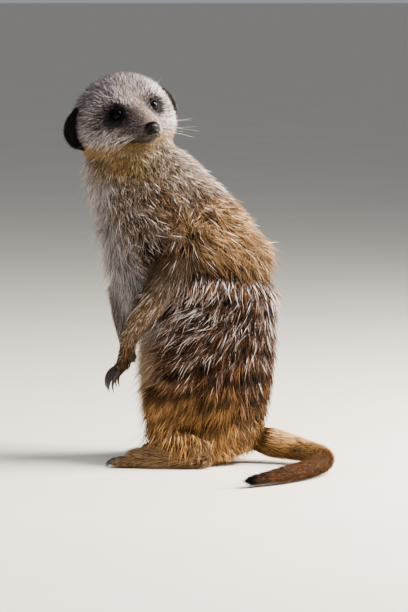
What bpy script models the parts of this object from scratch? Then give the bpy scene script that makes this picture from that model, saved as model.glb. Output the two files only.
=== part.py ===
"""A life-size meerkat (Suricata suricatta) sitting upright on its haunches, its head turned back to its left.

Units are metres; sizes below are written in millimetres and multiplied by MM. +Z is up, the body sits facing
-Y and its left side is +X. Every solid goes out to the tips of the coat. Each part is a loft: rings that
follow a smooth path, closed with rounded ends. Where two parts meet, the one below in the list is cut by a
slightly larger copy of the one above it, which leaves the thin gap GAP between them. Limbs are parted at
their joints by flat cuts.
"""

import math
from collections import namedtuple

import bmesh
import bpy
import numpy as np
from mathutils import Matrix, Vector

MM = 0.001

# ---- driving dimensions, in millimetres ---------------------------------------------------------
GAP = 0.35                      # between neighbouring solids
FLOOR_BITE = 0.6                # how far soft undersides are pressed flat by the floor
BOX_CENTRE = (37.6, 5.9)        # plan middle of the finished body, seen from the middle of the seat
HEAD_PLACE = (16.3, -54.8, 248.0)
HEAD_YAW = math.radians(40)     # the face points this far round from +X
HEAD_PITCH = math.radians(2)    # nose up
HEAD_ROLL = math.radians(13)    # left ear up
EYE_RADIUS = 5.4
EYE_PLACE = (20.6, 15.0, 6.0)   # forward, left, up from the middle of the head
FORE_CLAW = (1.5, 16.0)         # root radius and length along the curve
HIND_CLAW = (1.3, 8.0)

Ring = namedtuple("Ring", "x y z wide deep")


# ---- shape helpers -------------------------------------------------------------------------------
def catmull_rom(values, steps):
    """Rows of values, passed through smoothly, with a number of rows from each one to the next."""
    rows = np.array(values, float)
    ends = np.vstack([2 * rows[0] - rows[1], rows, 2 * rows[-1] - rows[-2]])
    found = []
    for i in range(len(rows) - 1):
        a, b, c, d = ends[i : i + 4]
        for t in np.arange(steps) / steps:
            square = (2 * a - 5 * b + 4 * c - d) * t**2
            cube = (3 * b - a - 3 * c + d) * t**3
            found.append(0.5 * (2 * b + (c - a) * t + square + cube))
    return np.array([*found, rows[-1]])


def loft_points(rings, sides, steps, side_axis, caps, cap_rings, grow):
    """Ring by ring points, in millimetres, and the two poles. caps are the rounded ends' lengths."""
    rows = catmull_rom(rings, steps)
    centres, wide, deep = rows[:, :3], rows[:, 3] + grow, rows[:, 4] + grow
    tangents = np.gradient(centres, axis=0)
    tangents /= np.linalg.norm(tangents, axis=1)[:, None]
    across = np.array(side_axis, float) - (tangents @ np.array(side_axis, float))[:, None] * tangents
    across /= np.linalg.norm(across, axis=1)[:, None]
    other = np.cross(tangents, across)
    turn = np.arange(sides) * 2 * math.pi / sides
    circle = np.stack([np.cos(turn), np.sin(turn)])

    def ring(i, share, along):
        spread = np.outer(circle[0], across[i]) * wide[i] + np.outer(circle[1], other[i]) * deep[i]
        return centres[i] + tangents[i] * along + spread * share

    bend = np.arange(1, cap_rings + 1) / (cap_rings + 1) * math.pi / 2
    start, end = caps[0] + grow, caps[1] + grow
    points = [ring(0, math.cos(a), -start * math.sin(a)) for a in bend[::-1]]
    points += [ring(i, 1, 0) for i in range(len(rows))]
    points += [ring(len(rows) - 1, math.cos(a), end * math.sin(a)) for a in bend]
    return np.array(points), centres[0] - tangents[0] * start, centres[-1] + tangents[-1] * end


def loft(name, rings, sides, steps=2, side_axis=(1, 0, 0), caps=(4, 4), cap_rings=2, grow=0.0):
    """A closed mesh through the rings, with a pole at each rounded end."""
    points, first_pole, last_pole = loft_points(rings, sides, steps, side_axis, caps, cap_rings, grow)
    shape = bmesh.new()
    grid = [[shape.verts.new(p * MM) for p in row] for row in points]
    bottom, top = shape.verts.new(first_pole * MM), shape.verts.new(last_pole * MM)
    for low, high in zip(grid, grid[1:]):
        for i in range(sides):
            j = (i + 1) % sides
            shape.faces.new((low[i], low[j], high[j], high[i]))
    for i in range(sides):
        j = (i + 1) % sides
        shape.faces.new((bottom, grid[0][j], grid[0][i]))
        shape.faces.new((top, grid[-1][i], grid[-1][j]))
    return mesh_object(name, shape)


def mesh_object(name, shape):
    """Puts a bmesh into a new object, faces outwards."""
    if shape.calc_volume(signed=True) < 0:
        bmesh.ops.reverse_faces(shape, faces=shape.faces)
    mesh = bpy.data.meshes.new(name)
    shape.to_mesh(mesh)
    shape.free()
    mesh.shade_smooth()
    made = bpy.data.objects.new(name, mesh)
    bpy.context.scene.collection.objects.link(made)
    return made


def helper(made):
    """Marks a cutter, which is not a part of the body."""
    made.hide_render = True
    made.display_type = "WIRE"
    return made


def half_space(name, point, direction, parent):
    """A block that removes everything beyond the plane through point, starting half a gap before it."""
    shape = bmesh.new()
    bmesh.ops.create_cube(shape, size=2)
    reach = 150
    lift = Matrix.Translation((0, 0, reach - GAP / 2))
    turn = Vector(direction).to_track_quat("Z", "Y").to_matrix().to_4x4()
    place = Matrix.Translation(Vector(point)) @ turn @ lift @ Matrix.Scale(reach, 4)
    shape.transform(Matrix.Scale(MM, 4) @ place)
    made = helper(mesh_object(name, shape))
    made.parent = parent
    return made


def boolean(part, operation, others):
    """Joins or cuts a part with other objects through one modifier."""
    group = bpy.data.collections.new(f"{part.name}_{operation.lower()}")
    for other in others:
        group.objects.link(other)
    step = part.modifiers.new(operation.title(), "BOOLEAN")
    step.solver = "EXACT"
    step.operation = operation
    step.operand_type = "COLLECTION"
    step.collection = group


def material(name, colour, roughness):
    made = bpy.data.materials.new(name)
    made.use_nodes = True
    surface = made.node_tree.nodes["Principled BSDF"]
    surface.inputs["Base Color"].default_value = (*colour, 1)
    surface.inputs["Roughness"].default_value = roughness
    surface.inputs["Metallic"].default_value = 0
    return made


class Part:
    """One named solid of the body, with a slightly larger copy of it that cuts its neighbours."""

    def __init__(self, name, finish, parent, rings, **settings):
        self.solid = loft(name, rings, **settings)
        self.cutter = helper(loft(f"{name}_cutter", rings, grow=GAP, **settings))
        self.solid.data.materials.append(finish)
        for made in (self.solid, self.cutter):
            made.parent = parent

    def fused_with(self, name, rings, **settings):
        """Grows a toe or finger out of this part."""
        for made, grow in ((self.solid, 0.0), (self.cutter, GAP)):
            toe = helper(loft(f"{made.name}_{name}", rings, grow=grow, **settings))
            toe.parent = made.parent
            boolean(made, "UNION", [toe])

    def cut_by(self, *others):
        boolean(self.solid, "DIFFERENCE", [o.cutter if isinstance(o, Part) else o for o in others])


# ---- the body, in the sitting frame, in millimetres ---------------------------------------------
# Each ring is a centre and two half sizes: across the body, and from front to back.
TORSO = [
    Ring(0, 9, 6, 33, 33),       # seat
    Ring(0, 4, 20, 39, 41),
    Ring(0, 1, 42, 42, 46),      # hips
    Ring(0, 2, 72, 42, 50),      # belly
    Ring(0, 2, 100, 40, 52),
    Ring(0, -4, 128, 38, 58),    # ribs
    Ring(1, -22, 161, 37, 56),   # shoulders
    Ring(3, -39, 191, 35, 47),   # withers and chest
    Ring(8, -50, 213, 33, 38),   # neck
    Ring(13, -54, 232, 30, 33),  # throat, inside the head
]
NECK_BASE = (2, -33, 180)        # where the neck is parted from the trunk
NECK_AIM = (0.05, -0.55, 0.83)

# Head rings run from the back of the skull to the muzzle: forward, left, up, half width, half height.
HEAD = [
    Ring(-32, 0, 1, 22, 21),
    Ring(-24, 0, 0, 30, 27.5),
    Ring(-12, 0, -1, 36, 32.5),    # widest over the ears and cheeks
    Ring(0, 0, -2.2, 37.5, 33),
    Ring(11, 0, -4, 33.5, 28),
    Ring(20, 0, -5, 22.8, 21.8),   # brow and eyes
    Ring(28, 0, -6.5, 14.6, 15.6),
    Ring(35, 0, -8, 10, 11.6),
    Ring(41, 0, -9, 7.4, 8.1),     # lips
]
NOSE = [Ring(40, 0, -7.2, 4.2, 3.6), Ring(44, 0, -7.2, 4.4, 3.8)]
EAR = [
    Ring(-6, 31.6, 12.4, 4.6, 2.4),
    Ring(-8, 34.6, 6, 8.3, 2.8),
    Ring(-9, 36, -1, 9.6, 2.8),
    Ring(-8, 35, -7.6, 8.1, 2.8),
    Ring(-6, 32.6, -12, 4.6, 2.4),
]

LEFT_ARM = [
    Ring(27, -10, 168, 13, 19),  # shoulder, half sunk in the trunk
    Ring(35, -17, 146, 14, 17),
    Ring(38, -26, 124, 12.5, 13.5),
    Ring(34, -36, 110, 10, 10.5),
    Ring(29, -46, 96, 8.2, 8.4),
    Ring(24, -52, 81, 6.6, 6.6),
    Ring(21, -55.5, 70, 7.4, 6.2),
]
RIGHT_ARM = [
    Ring(-27, -38, 172, 14, 20),
    Ring(-33, -55, 149, 13, 17),
    Ring(-31, -68, 127, 11.5, 13.5),
    Ring(-26, -69.5, 111, 9.5, 10.5),
    Ring(-20, -67, 97, 8, 8.4),
    Ring(-14, -62.5, 82, 6.6, 6.6),
    Ring(-11, -60, 71, 7.2, 6.2),
]
ARM_CUTS = (2.45, 5.0)           # elbow and wrist, counted in rings

THIGH = [
    Ring(25, 24, 50, 16, 20),
    Ring(32, 8, 50, 17, 27),
    Ring(36, -12, 48, 15.5, 27),
    Ring(38, -30, 46, 11, 18),
]
SHANK = [Ring(38, -28, 32, 9.5, 12), Ring(38, -12, 22, 10, 13), Ring(36, 6, 13, 9, 11)]
FOOT = [
    Ring(36, 10, 8.6, 8.5, 9.2),
    Ring(38, -8, 8.6, 9.8, 9.2),
    Ring(41, -27, 7.8, 11, 8.4),
    Ring(43, -41, 6.6, 11, 7.2),
]
TAIL = [
    Ring(-6, 28, 20, 16, 16),
    Ring(-5, 50, 14.5, 13.5, 13.5),
    Ring(0, 70, 11, 11, 11),
    Ring(16, 88, 9.4, 10, 10),
    Ring(38, 97, 8.8, 9.4, 9.4),
    Ring(67, 97, 8.2, 8.8, 8.8),
    Ring(99, 86, 7.2, 7.8, 7.8),
    Ring(124, 69, 5.2, 5.8, 5.8),
]
TAIL_CUTS = (1.9, 3.9, 5.5)


def along(rings, place):
    """The point and the direction at a fractional ring number."""
    rows = catmull_rom(rings, 20)[:, :3]
    i = min(int(round(place * 20)), len(rows) - 2)
    aim = Vector(rows[i + 1] - rows[i]).normalized()
    return Vector(rows[i]), aim


def parted(rings, place, name, parent):
    """Two cutters for one cut across a limb: everything past it, and everything before it."""
    point, aim = along(rings, place)
    return (
        half_space(f"{name}_past", point, aim, parent),
        half_space(f"{name}_before", point, -aim, parent),
    )


def mirrored(rings):
    return [r._replace(x=-r.x) for r in rings]


def claw_rings(root, aim, down, size):
    """Rings along an arc that leaves root along aim and bends towards down, tapering to a blunt tip."""
    radius, length = size
    aim, down = Vector(aim).normalized(), Vector(down).normalized()
    down = (down - down.dot(aim) * aim).normalized()
    bend = math.radians(75)
    arc = length / bend
    rings = []
    for share in (0.0, 0.5, 1.0):
        a = bend * share
        point = Vector(root) + arc * (math.sin(a) * aim + (1 - math.cos(a)) * down)
        thick = radius * (1 - share) + 0.35 * share
        rings.append(Ring(*point, thick * 0.8, thick))
    return rings


def make_arm(side, rings, finishes, parent, palm_turn):
    """Upper arm, forearm and forepaw with four clawed fingers."""
    coat, horn = finishes
    settings = {"sides": 10, "steps": 2, "caps": (12, 3)}
    upper = Part(f"upper_arm_{side}", coat, parent, rings, **settings)
    fore = Part(f"forearm_{side}", coat, parent, rings, **settings)
    paw = Part(f"forepaw_{side}", coat, parent, rings, **settings)
    elbow_past, elbow_before = parted(rings, ARM_CUTS[0], f"elbow_{side}", parent)
    wrist_past, wrist_before = parted(rings, ARM_CUTS[1], f"wrist_{side}", parent)
    palm, aim = along(rings, len(rings) - 1)
    across = Vector((math.cos(palm_turn), math.sin(palm_turn), 0))
    forward = Vector((0.1, -0.62, -0.78)) if side == "left" else Vector((0.25, -0.5, -0.83))
    claws = []
    for i, offset in enumerate((-1.5, -0.5, 0.5, 1.5)):
        root = palm + across * offset * 3.7 - aim * 1.7
        heading = (forward + across * offset * 0.12).normalized()
        reach = 10.5 - 1.2 * abs(offset - 0.5)
        tip = root + heading * reach
        finger = [Ring(*root, 2.6, 2.8), Ring(*root.lerp(tip, 0.5), 2.4, 2.7), Ring(*tip, 2.1, 2.4)]
        paw.fused_with(
            f"finger_{i + 1}", finger, sides=6, steps=1, side_axis=across, caps=(2, 2), cap_rings=1
        )
        claw_aim = heading + Vector((0, -0.35, 0.1))
        claw = Part(
            f"fore_claw_{side}_{i + 1}", horn, parent,
            claw_rings(tip + Vector((0, -0.2, 0.9)), claw_aim, (0, 0.55, -1), FORE_CLAW),
            sides=5, steps=1, side_axis=across, caps=(0.8, 0.5), cap_rings=1,
        )
        claw.cut_by(paw)
        claws.append(claw)
    upper.cut_by(elbow_past)
    fore.cut_by(elbow_before, wrist_past)
    paw.cut_by(wrist_before)
    return upper, fore, paw, claws


def make_leg(side, finishes, parent):
    """Thigh, shank and foot of one hind leg, folded under the body, with four clawed toes."""
    coat, horn = finishes
    mirror = mirrored if side == "right" else list
    thigh = Part(f"thigh_{side}", coat, parent, mirror(THIGH), sides=12, steps=2, caps=(10, 9))
    shank = Part(f"shank_{side}", coat, parent, mirror(SHANK), sides=10, steps=2, caps=(6, 6))
    foot = Part(f"foot_{side}", coat, parent, mirror(FOOT), sides=11, steps=2, caps=(6, 4))
    sign = -1 if side == "right" else 1
    ball, aim = along(mirror(FOOT), len(FOOT) - 1)
    for i, offset in enumerate((-1.5, -0.5, 0.5, 1.5)):
        root = ball + Vector((offset * 4.9, 3, -1.2))
        heading = Vector((sign * 0.15 + offset * 0.09, -1, -0.05)).normalized()
        tip = root + heading * (18.5 - 2.2 * abs(offset))
        toe = [Ring(*root, 3.6, 4.4), Ring(*root.lerp(tip, 0.55), 3.2, 3.9), Ring(*tip, 2.7, 3.0)]
        foot.fused_with(f"toe_{i + 1}", toe, sides=6, steps=1, caps=(2, 2.4), cap_rings=1)
        claw = Part(
            f"hind_claw_{side}_{i + 1}", horn, parent,
            claw_rings(tip + Vector((0, 0, 1.2)), heading + Vector((0, 0, 0.1)), (0, 0, -1), HIND_CLAW),
            sides=5, steps=1, caps=(0.8, 0.5), cap_rings=1,
        )
        claw.cut_by(foot)
    shank.cut_by(thigh, foot)
    thigh.cut_by(foot)
    return thigh, shank, foot


def make_head(finishes, parent):
    """Head, eyes, ears and nose in the head's own frame: x forward, y to its left, z up."""
    coat, black, eye_finish, nose_finish = finishes
    frame = bpy.data.objects.new("head_frame", None)
    bpy.context.scene.collection.objects.link(frame)
    frame.parent = parent
    frame.location = Vector(HEAD_PLACE) * MM
    frame.rotation_euler = (HEAD_ROLL, -HEAD_PITCH, HEAD_YAW)
    left = (0, 1, 0)
    head = Part("head", coat, frame, HEAD, sides=18, steps=2, side_axis=left, caps=(7, 4), cap_rings=2)
    nose = Part("nose", nose_finish, frame, NOSE, sides=9, steps=1, side_axis=left, caps=(2, 3.2))
    cutters = [nose]
    ears = []
    for side, sign in (("left", 1), ("right", -1)):
        x, y, z = EYE_PLACE
        middle = Ring(x, sign * y, z, EYE_RADIUS, EYE_RADIUS)
        half = EYE_RADIUS * 0.02
        ball = [middle._replace(x=x - half), middle._replace(x=x + half)]
        eye = Part(f"eye_{side}", eye_finish, frame, ball, sides=10, steps=1, side_axis=left,
                   caps=(EYE_RADIUS, EYE_RADIUS), cap_rings=2)
        cutters.append(eye)
        ear_rings = [r._replace(y=sign * r.y) for r in EAR]
        ear = Part(f"ear_{side}", black, frame, ear_rings, sides=10, steps=1,
                   side_axis=(-0.2, sign * 0.98, 0), caps=(2.5, 2.5))
        ear.cut_by(head)
        ears.append(ear)
    head.cut_by(*cutters)
    return head, ears


def main():
    for old in list(bpy.data.objects):
        bpy.data.objects.remove(old)
    coat = material("agouti_coat", (0.42, 0.30, 0.18), 0.85)
    pale = material("pale_coat", (0.60, 0.55, 0.48), 0.85)
    tan = material("tan_coat", (0.55, 0.33, 0.13), 0.85)
    black = material("black_coat", (0.03, 0.025, 0.022), 0.8)
    horn = material("dark_horn", (0.05, 0.045, 0.045), 0.4)
    eye_finish = material("eye", (0.02, 0.012, 0.008), 0.08)
    nose_finish = material("wet_nose", (0.03, 0.022, 0.02), 0.3)

    body = bpy.data.objects.new("meerkat", None)
    bpy.context.scene.collection.objects.link(body)
    body.location = (-BOX_CENTRE[0] * MM, -BOX_CENTRE[1] * MM, 0)
    floor = half_space("floor", (0, 0, -GAP / 2), (0, 0, -1), body)

    torso = {"sides": 18, "steps": 2, "caps": (8, 12), "cap_rings": 3}
    trunk = Part("trunk", coat, body, TORSO, **torso)
    neck = Part("neck", pale, body, TORSO, **torso)
    above = half_space("neck_base_past", NECK_BASE, NECK_AIM, body)
    below = half_space("neck_base_before", NECK_BASE, [-a for a in NECK_AIM], body)
    head, ears = make_head((pale, black, eye_finish, nose_finish), body)
    arms = {
        "left": make_arm("left", LEFT_ARM, (tan, horn), body, math.radians(40)),
        "right": make_arm("right", RIGHT_ARM, (tan, horn), body, math.radians(28)),
    }
    legs = {side: make_leg(side, (tan, horn), body) for side in ("left", "right")}
    tail = Part("tail_whole", tan, body, TAIL, sides=11, steps=3, side_axis=(0, 0, 1), caps=(6, 9))
    cuts = [parted(TAIL, place, f"tail_cut_{i}", body) for i, place in enumerate(TAIL_CUTS)]
    for i in range(len(TAIL_CUTS) + 1):
        length = Part(
            f"tail_{i + 1}", tan, body, TAIL, sides=11, steps=3, side_axis=(0, 0, 1), caps=(6, 9)
        )
        ends = [floor]
        if i > 0:
            ends.append(cuts[i - 1][1])
        if i < len(TAIL_CUTS):
            ends.append(cuts[i][0])
        length.cut_by(*ends)
    helper(tail.solid)

    limbs = []
    for side in ("left", "right"):
        upper, fore, paw, claws = arms[side]
        thigh, shank, foot = legs[side]
        for piece in (thigh, shank, foot):
            piece.cut_by(floor)
        limbs += [upper, fore, thigh, shank, foot]
    trunk.cut_by(above, floor, tail, *limbs)
    neck.cut_by(below, head, *ears, arms["left"][0], arms["right"][0])


main()
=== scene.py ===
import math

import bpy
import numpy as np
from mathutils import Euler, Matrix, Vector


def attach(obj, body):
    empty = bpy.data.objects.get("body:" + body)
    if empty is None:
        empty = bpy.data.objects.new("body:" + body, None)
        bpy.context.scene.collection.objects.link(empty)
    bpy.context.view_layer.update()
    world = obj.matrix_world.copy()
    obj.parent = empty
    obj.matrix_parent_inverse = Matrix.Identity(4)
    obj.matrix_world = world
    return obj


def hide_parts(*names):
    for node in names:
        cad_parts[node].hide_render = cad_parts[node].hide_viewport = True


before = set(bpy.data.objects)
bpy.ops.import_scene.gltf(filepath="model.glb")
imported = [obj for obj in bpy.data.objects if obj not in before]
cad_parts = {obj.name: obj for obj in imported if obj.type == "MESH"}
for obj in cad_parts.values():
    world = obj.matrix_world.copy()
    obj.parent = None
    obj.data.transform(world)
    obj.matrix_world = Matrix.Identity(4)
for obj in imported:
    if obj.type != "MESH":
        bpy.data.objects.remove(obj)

# %% [markdown]
# # A meerkat on its haunches
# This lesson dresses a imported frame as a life-size still model of a meerkat. The animal sits upright, its
# body in profile and its head turned back over the left shoulder. The frame gives the outline out to the
# tips of the fur. The lesson puts one smooth skin inside it, gives it a face, eyes, ears, nose, claws and
# whiskers, and then grows the coat as some two hundred thousand small solid tufts. Every shape is an
# array sum in numpy, worked in millimetres in the sitting frame: the middle of the seat is the origin,
# the chest faces -Y and the animal's left is +X.

MM = 0.001
SEAT = np.array([-0.0376, -0.0059, 0.0])
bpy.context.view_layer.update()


def in_frame(points):
    """Millimetres in the sitting frame to metres in the model's: times 0.001, plus the seat's place."""
    return np.asarray(points, float) * MM + SEAT


def unit(vectors):
    """Each row divided by its own length."""
    return vectors / np.maximum(np.linalg.norm(vectors, axis=-1, keepdims=True), 1e-9)


def step(low, high, value):
    """A smooth ramp from 0 at low to 1 at high: t * t * (3 - 2 t)."""
    t = np.clip((value - low) / (high - low), 0, 1)
    return t * t * (3 - 2 * t)


print("frame of", len(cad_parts), "nodes")

# %% [markdown]
# ## Camera, light and floor
# The camera stands a little higher than the animal and a long way back, with a long lens, so that the
# animal keeps its upright proportions. A warm key stands behind the animal's back, 44 degrees up, and a
# low rim beside it edges the fur with light. A weak cool fill comes from the left of the camera, a dim
# light from overhead and a pale world from all round. The floor is one plane, so wide that its far edge
# lies at the camera's own level.

# %% Camera
AZIMUTH, ELEVATION, DISTANCE = math.radians(105), math.radians(5), 2.5
LENS_MM, SENSOR_MM, FAR_CLIP_M = 204, 36, 9000
TO_CAMERA = Vector((
    math.sin(AZIMUTH) * math.cos(ELEVATION),
    -math.cos(AZIMUTH) * math.cos(ELEVATION),
    math.sin(ELEVATION),
))
AIM = Vector(in_frame((0.2, -0.7, 112.6)))
camera = bpy.data.objects.new("camera", bpy.data.cameras.new("camera"))
camera.data.lens = LENS_MM
camera.data.sensor_width = SENSOR_MM
camera.data.clip_end = FAR_CLIP_M
camera.location = AIM + TO_CAMERA * DISTANCE
camera.rotation_euler = TO_CAMERA.to_track_quat("Z", "Y").to_euler()
bpy.context.scene.collection.objects.link(camera)
bpy.context.scene.camera = camera
print("camera", round(camera.location.z, 3), "m above the floor")


# %% Lights
def area_light(name, azimuth, elevation, distance, size, watts, colour):
    """A square light that faces the middle of the animal from the given bearing."""
    a, e = math.radians(azimuth), math.radians(elevation)
    away = Vector((math.sin(a) * math.cos(e), -math.cos(a) * math.cos(e), math.sin(e)))
    lamp = bpy.data.objects.new(name, bpy.data.lights.new(name, "AREA"))
    lamp.data.shape = "SQUARE"
    lamp.data.size = size
    lamp.data.energy = watts
    lamp.data.color = colour
    lamp.location = Vector(in_frame((0, 0, 130))) + away * distance
    lamp.rotation_euler = away.to_track_quat("Z", "Y").to_euler()
    bpy.context.scene.collection.objects.link(lamp)
    return lamp


area_light("rim", 203, 18, 1.3, 0.45, 50, (1.0, 0.96, 0.90))
area_light("key", 180, 44, 1.3, 0.5, 50, (1.0, 0.94, 0.86))
area_light("fill", 76, 26, 1.7, 0.42, 6.5, (0.78, 0.88, 1.0))
top = area_light("top", 110, 72, 1.4, 0.8, 9, (1.0, 0.97, 0.93))
# The wet eyes would mirror this wide light as a grey sheet, so reflections leave it out.
top.visible_glossy = False
world = bpy.data.worlds.new("studio")
bpy.context.scene.world = world
world.use_nodes = True
background = world.node_tree.nodes["Background"]
background.inputs["Color"].default_value = (0.80, 0.84, 0.90, 1)
background.inputs["Strength"].default_value = 0.36
bpy.context.scene.view_settings.view_transform = "AgX"
bpy.context.scene.view_settings.look = "AgX - Medium High Contrast"
print(len(bpy.data.lights), "lights")

# %% [markdown]
# ## Paths of the body
# Flesh is a set of tubes. Each is a short list of rings: a middle, a half width across the body, a half
# depth from front to back, and the depth of the coat there. The frame's solids use the same rings out to
# the tips of the fur, so the skin is the ring less its coat.

# %% Rings
TORSO = [
    (0, 9, 6, 33, 33, 4), (0, 4, 20, 39, 41, 6.5), (0, 1, 42, 42, 46, 8), (0, 2, 72, 42, 50, 8.5),
    (0, 2, 100, 40, 52, 8.5), (0, -4, 128, 38, 58, 8.5), (1, -22, 161, 37, 56, 8), (3, -39, 191, 35, 47, 7),
    (8, -50, 213, 33, 38, 6), (13, -54, 232, 30, 33, 5),
]
LEFT_ARM = [
    (20, -8, 168, 13, 20, 7.5), (29, -16, 146, 14, 18, 6.5), (36, -26, 124, 12.5, 13.5, 4.6),
    (34, -36, 110, 10, 10.5, 3.4), (29, -46, 96, 8.2, 8.4, 2.4), (24, -52, 81, 6.6, 6.6, 1.6),
    (21, -55.5, 70, 7.4, 6.2, 1.1),
]
RIGHT_ARM = [
    (-27, -38, 172, 14, 20, 5), (-33, -55, 149, 13, 17, 5), (-31, -68, 127, 11.5, 13.5, 4.2),
    (-26, -69.5, 111, 9.5, 10.5, 3.2), (-20, -67, 97, 8, 8.4, 2.4), (-14, -62.5, 82, 6.6, 6.6, 1.6),
    (-11, -60, 71, 7.2, 6.2, 1.1),
]
THIGH = [
    (22, 24, 50, 16, 20, 7), (28, 8, 50, 17, 28, 8), (32, -12, 48, 15.5, 28, 7.5), (37, -30, 46, 11, 18, 5),
]
SHANK = [(38, -28, 32, 9.5, 12, 4), (38, -12, 22, 10, 13, 4), (36, 6, 13, 9, 11, 3)]
FOOT = [
    (36, 10, 6.6, 8.5, 9, 2.2), (38, -8, 6.8, 9.8, 9.2, 2.2), (41, -27, 6.4, 11, 8, 1.5),
    (43, -41, 5.6, 10.5, 6.6, 1),
]
TAIL = [
    (-6, 28, 20, 16, 16, 6), (-5, 50, 14.5, 13.5, 13.5, 5), (0, 70, 11, 11, 11, 4),
    (16, 88, 9.4, 10, 10, 3.6), (38, 97, 8.8, 9.4, 9.4, 3.4), (67, 97, 8.2, 8.8, 8.8, 3.2),
    (99, 86, 7.2, 7.8, 7.8, 3), (124, 69, 5.2, 5.8, 5.8, 2.6),
]
# The head's rings are in its own frame: forward, left, up from the middle of the skull.
HEAD = [
    (-32, 0, 1, 22, 21, 2), (-24, 0, 0, 30, 27.5, 2), (-12, 0, -1, 36, 32.5, 2),
    (0, 0, -2.2, 37.5, 33, 1.8), (11, 0, -4, 33.5, 28, 1.6), (20, 0, -5, 22.8, 21.8, 1.4),
    (28, 0, -6.5, 14.6, 15.6, 1.1), (35, 0, -8, 10, 11.6, 0.8), (41, 0, -9, 7.4, 8.1, 0.6),
]
HEAD_PLACE = np.array([16.3, -54.8, 248.0])
HEAD_TURN = np.array(Euler((math.radians(13), math.radians(-2), math.radians(40))).to_matrix())


def from_head(points):
    """Head frame to sitting frame: turn, then move."""
    return np.asarray(points, float) @ HEAD_TURN.T + HEAD_PLACE


def to_head(points):
    """Sitting frame to head frame: the same move and turn undone."""
    return (np.asarray(points, float) - HEAD_PLACE) @ HEAD_TURN


# %% [markdown]
# ## Tubes
# A tube carries an ellipse along a smooth curve through the ring middles and closes at each end with a
# rounded cap. Doing the curve, the ellipse and the cap as one array sum keeps every tube a single short
# function.

# %% The tube function


def smooth_rows(rows, steps):
    """A Catmull-Rom curve through the rows: each stretch is a cubic of its ends and their neighbours."""
    rows = np.array(rows, float)
    ends = np.vstack([2 * rows[0] - rows[1], rows, 2 * rows[-1] - rows[-2]])
    t = (np.arange(steps) / steps)[None, :, None]
    a, b, c, d = (ends[i : len(ends) - 3 + i, None, :] for i in range(4))
    square, cube = 2 * a - 5 * b + 4 * c - d, 3 * b - a - 3 * c + d
    curve = 0.5 * (2 * b + (c - a) * t + square * t**2 + cube * t**3)
    return np.vstack([curve.reshape(-1, rows.shape[1]), rows[-1:]])


def tube(rings, sides, steps, side_axis=(1, 0, 0), caps=(4, 4), cap_rows=6):
    """Ring i at angle a is middle + across * wide * cos a + other * deep * sin a. Over an end cap both
    half sizes shrink by cos b while the middle moves out along the curve by the cap's length times
    sin b."""
    rows = smooth_rows(rings, steps)
    tangent = unit(np.gradient(rows[:, :3], axis=0))
    bend = np.arange(1, cap_rows + 1) / (cap_rows + 0.4) * math.pi / 2
    first, last = np.zeros(cap_rows, int), np.full(cap_rows, len(rows) - 1)
    row = np.concatenate([first, np.arange(len(rows)), last])
    share = np.concatenate([np.cos(bend[::-1]), np.ones(len(rows)), np.cos(bend)])
    start, end = caps[0] - rows[0, 5], caps[1] - rows[-1, 5]
    slide = np.concatenate([-start * np.sin(bend[::-1]), np.zeros(len(rows)), end * np.sin(bend)])
    rows, tangent = rows[row], tangent[row]
    axis = np.array(side_axis, float)
    across = unit(axis - (tangent @ axis)[:, None] * tangent)
    other = np.cross(tangent, across)
    angle = np.arange(sides) * 2 * math.pi / sides
    middle = rows[:, :3] + tangent * slide[:, None]
    wide, deep = ((rows[:, k] - rows[:, 5]) * share for k in (3, 4))
    points = (
        middle[:, None]
        + across[:, None] * (wide[:, None] * np.cos(angle))[..., None]
        + other[:, None] * (deep[:, None] * np.sin(angle))[..., None]
    )
    way = np.linspace(0, 1, len(rows))[:, None]
    turn = np.stack(np.broadcast_arrays(np.cos(angle), np.sin(angle), way), -1)
    coat = np.broadcast_to(rows[:, 5:6], points.shape[:2])
    lie = np.broadcast_to(tangent[:, None], points.shape)
    return {"points": points, "turn": turn, "coat": coat, "lie": lie}


def grid_faces(rows, columns, first=0, closed_rows=False):
    """Quads of a grid whose columns wrap round; its rows wrap too where closed_rows is set."""
    i = np.arange(rows if closed_rows else rows - 1)[:, None]
    j = np.arange(columns)[None]
    around = ((0, 0), (0, 1), (1, 1), (1, 0))
    corners = [((i + a) % rows) * columns + (j + b) % columns for a, b in around]
    return np.stack(np.broadcast_arrays(*corners), -1).reshape(-1, 4) + first


print("tube of 3 rings:", tube(SHANK, 12, 4)["points"].shape)

# %% [markdown]
# ## Fingers, toes and claws
# A meerkat has four digits on every paw. The fingers hang, and their long digging claws curve back. The
# toes lie flat with short claws. A digit is a small tube, and a claw is a tapering tube on an arc, so
# both come from one rule.

# %% Digits
PLACES_ACROSS = (-1.5, -0.5, 0.5, 1.5)


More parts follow.
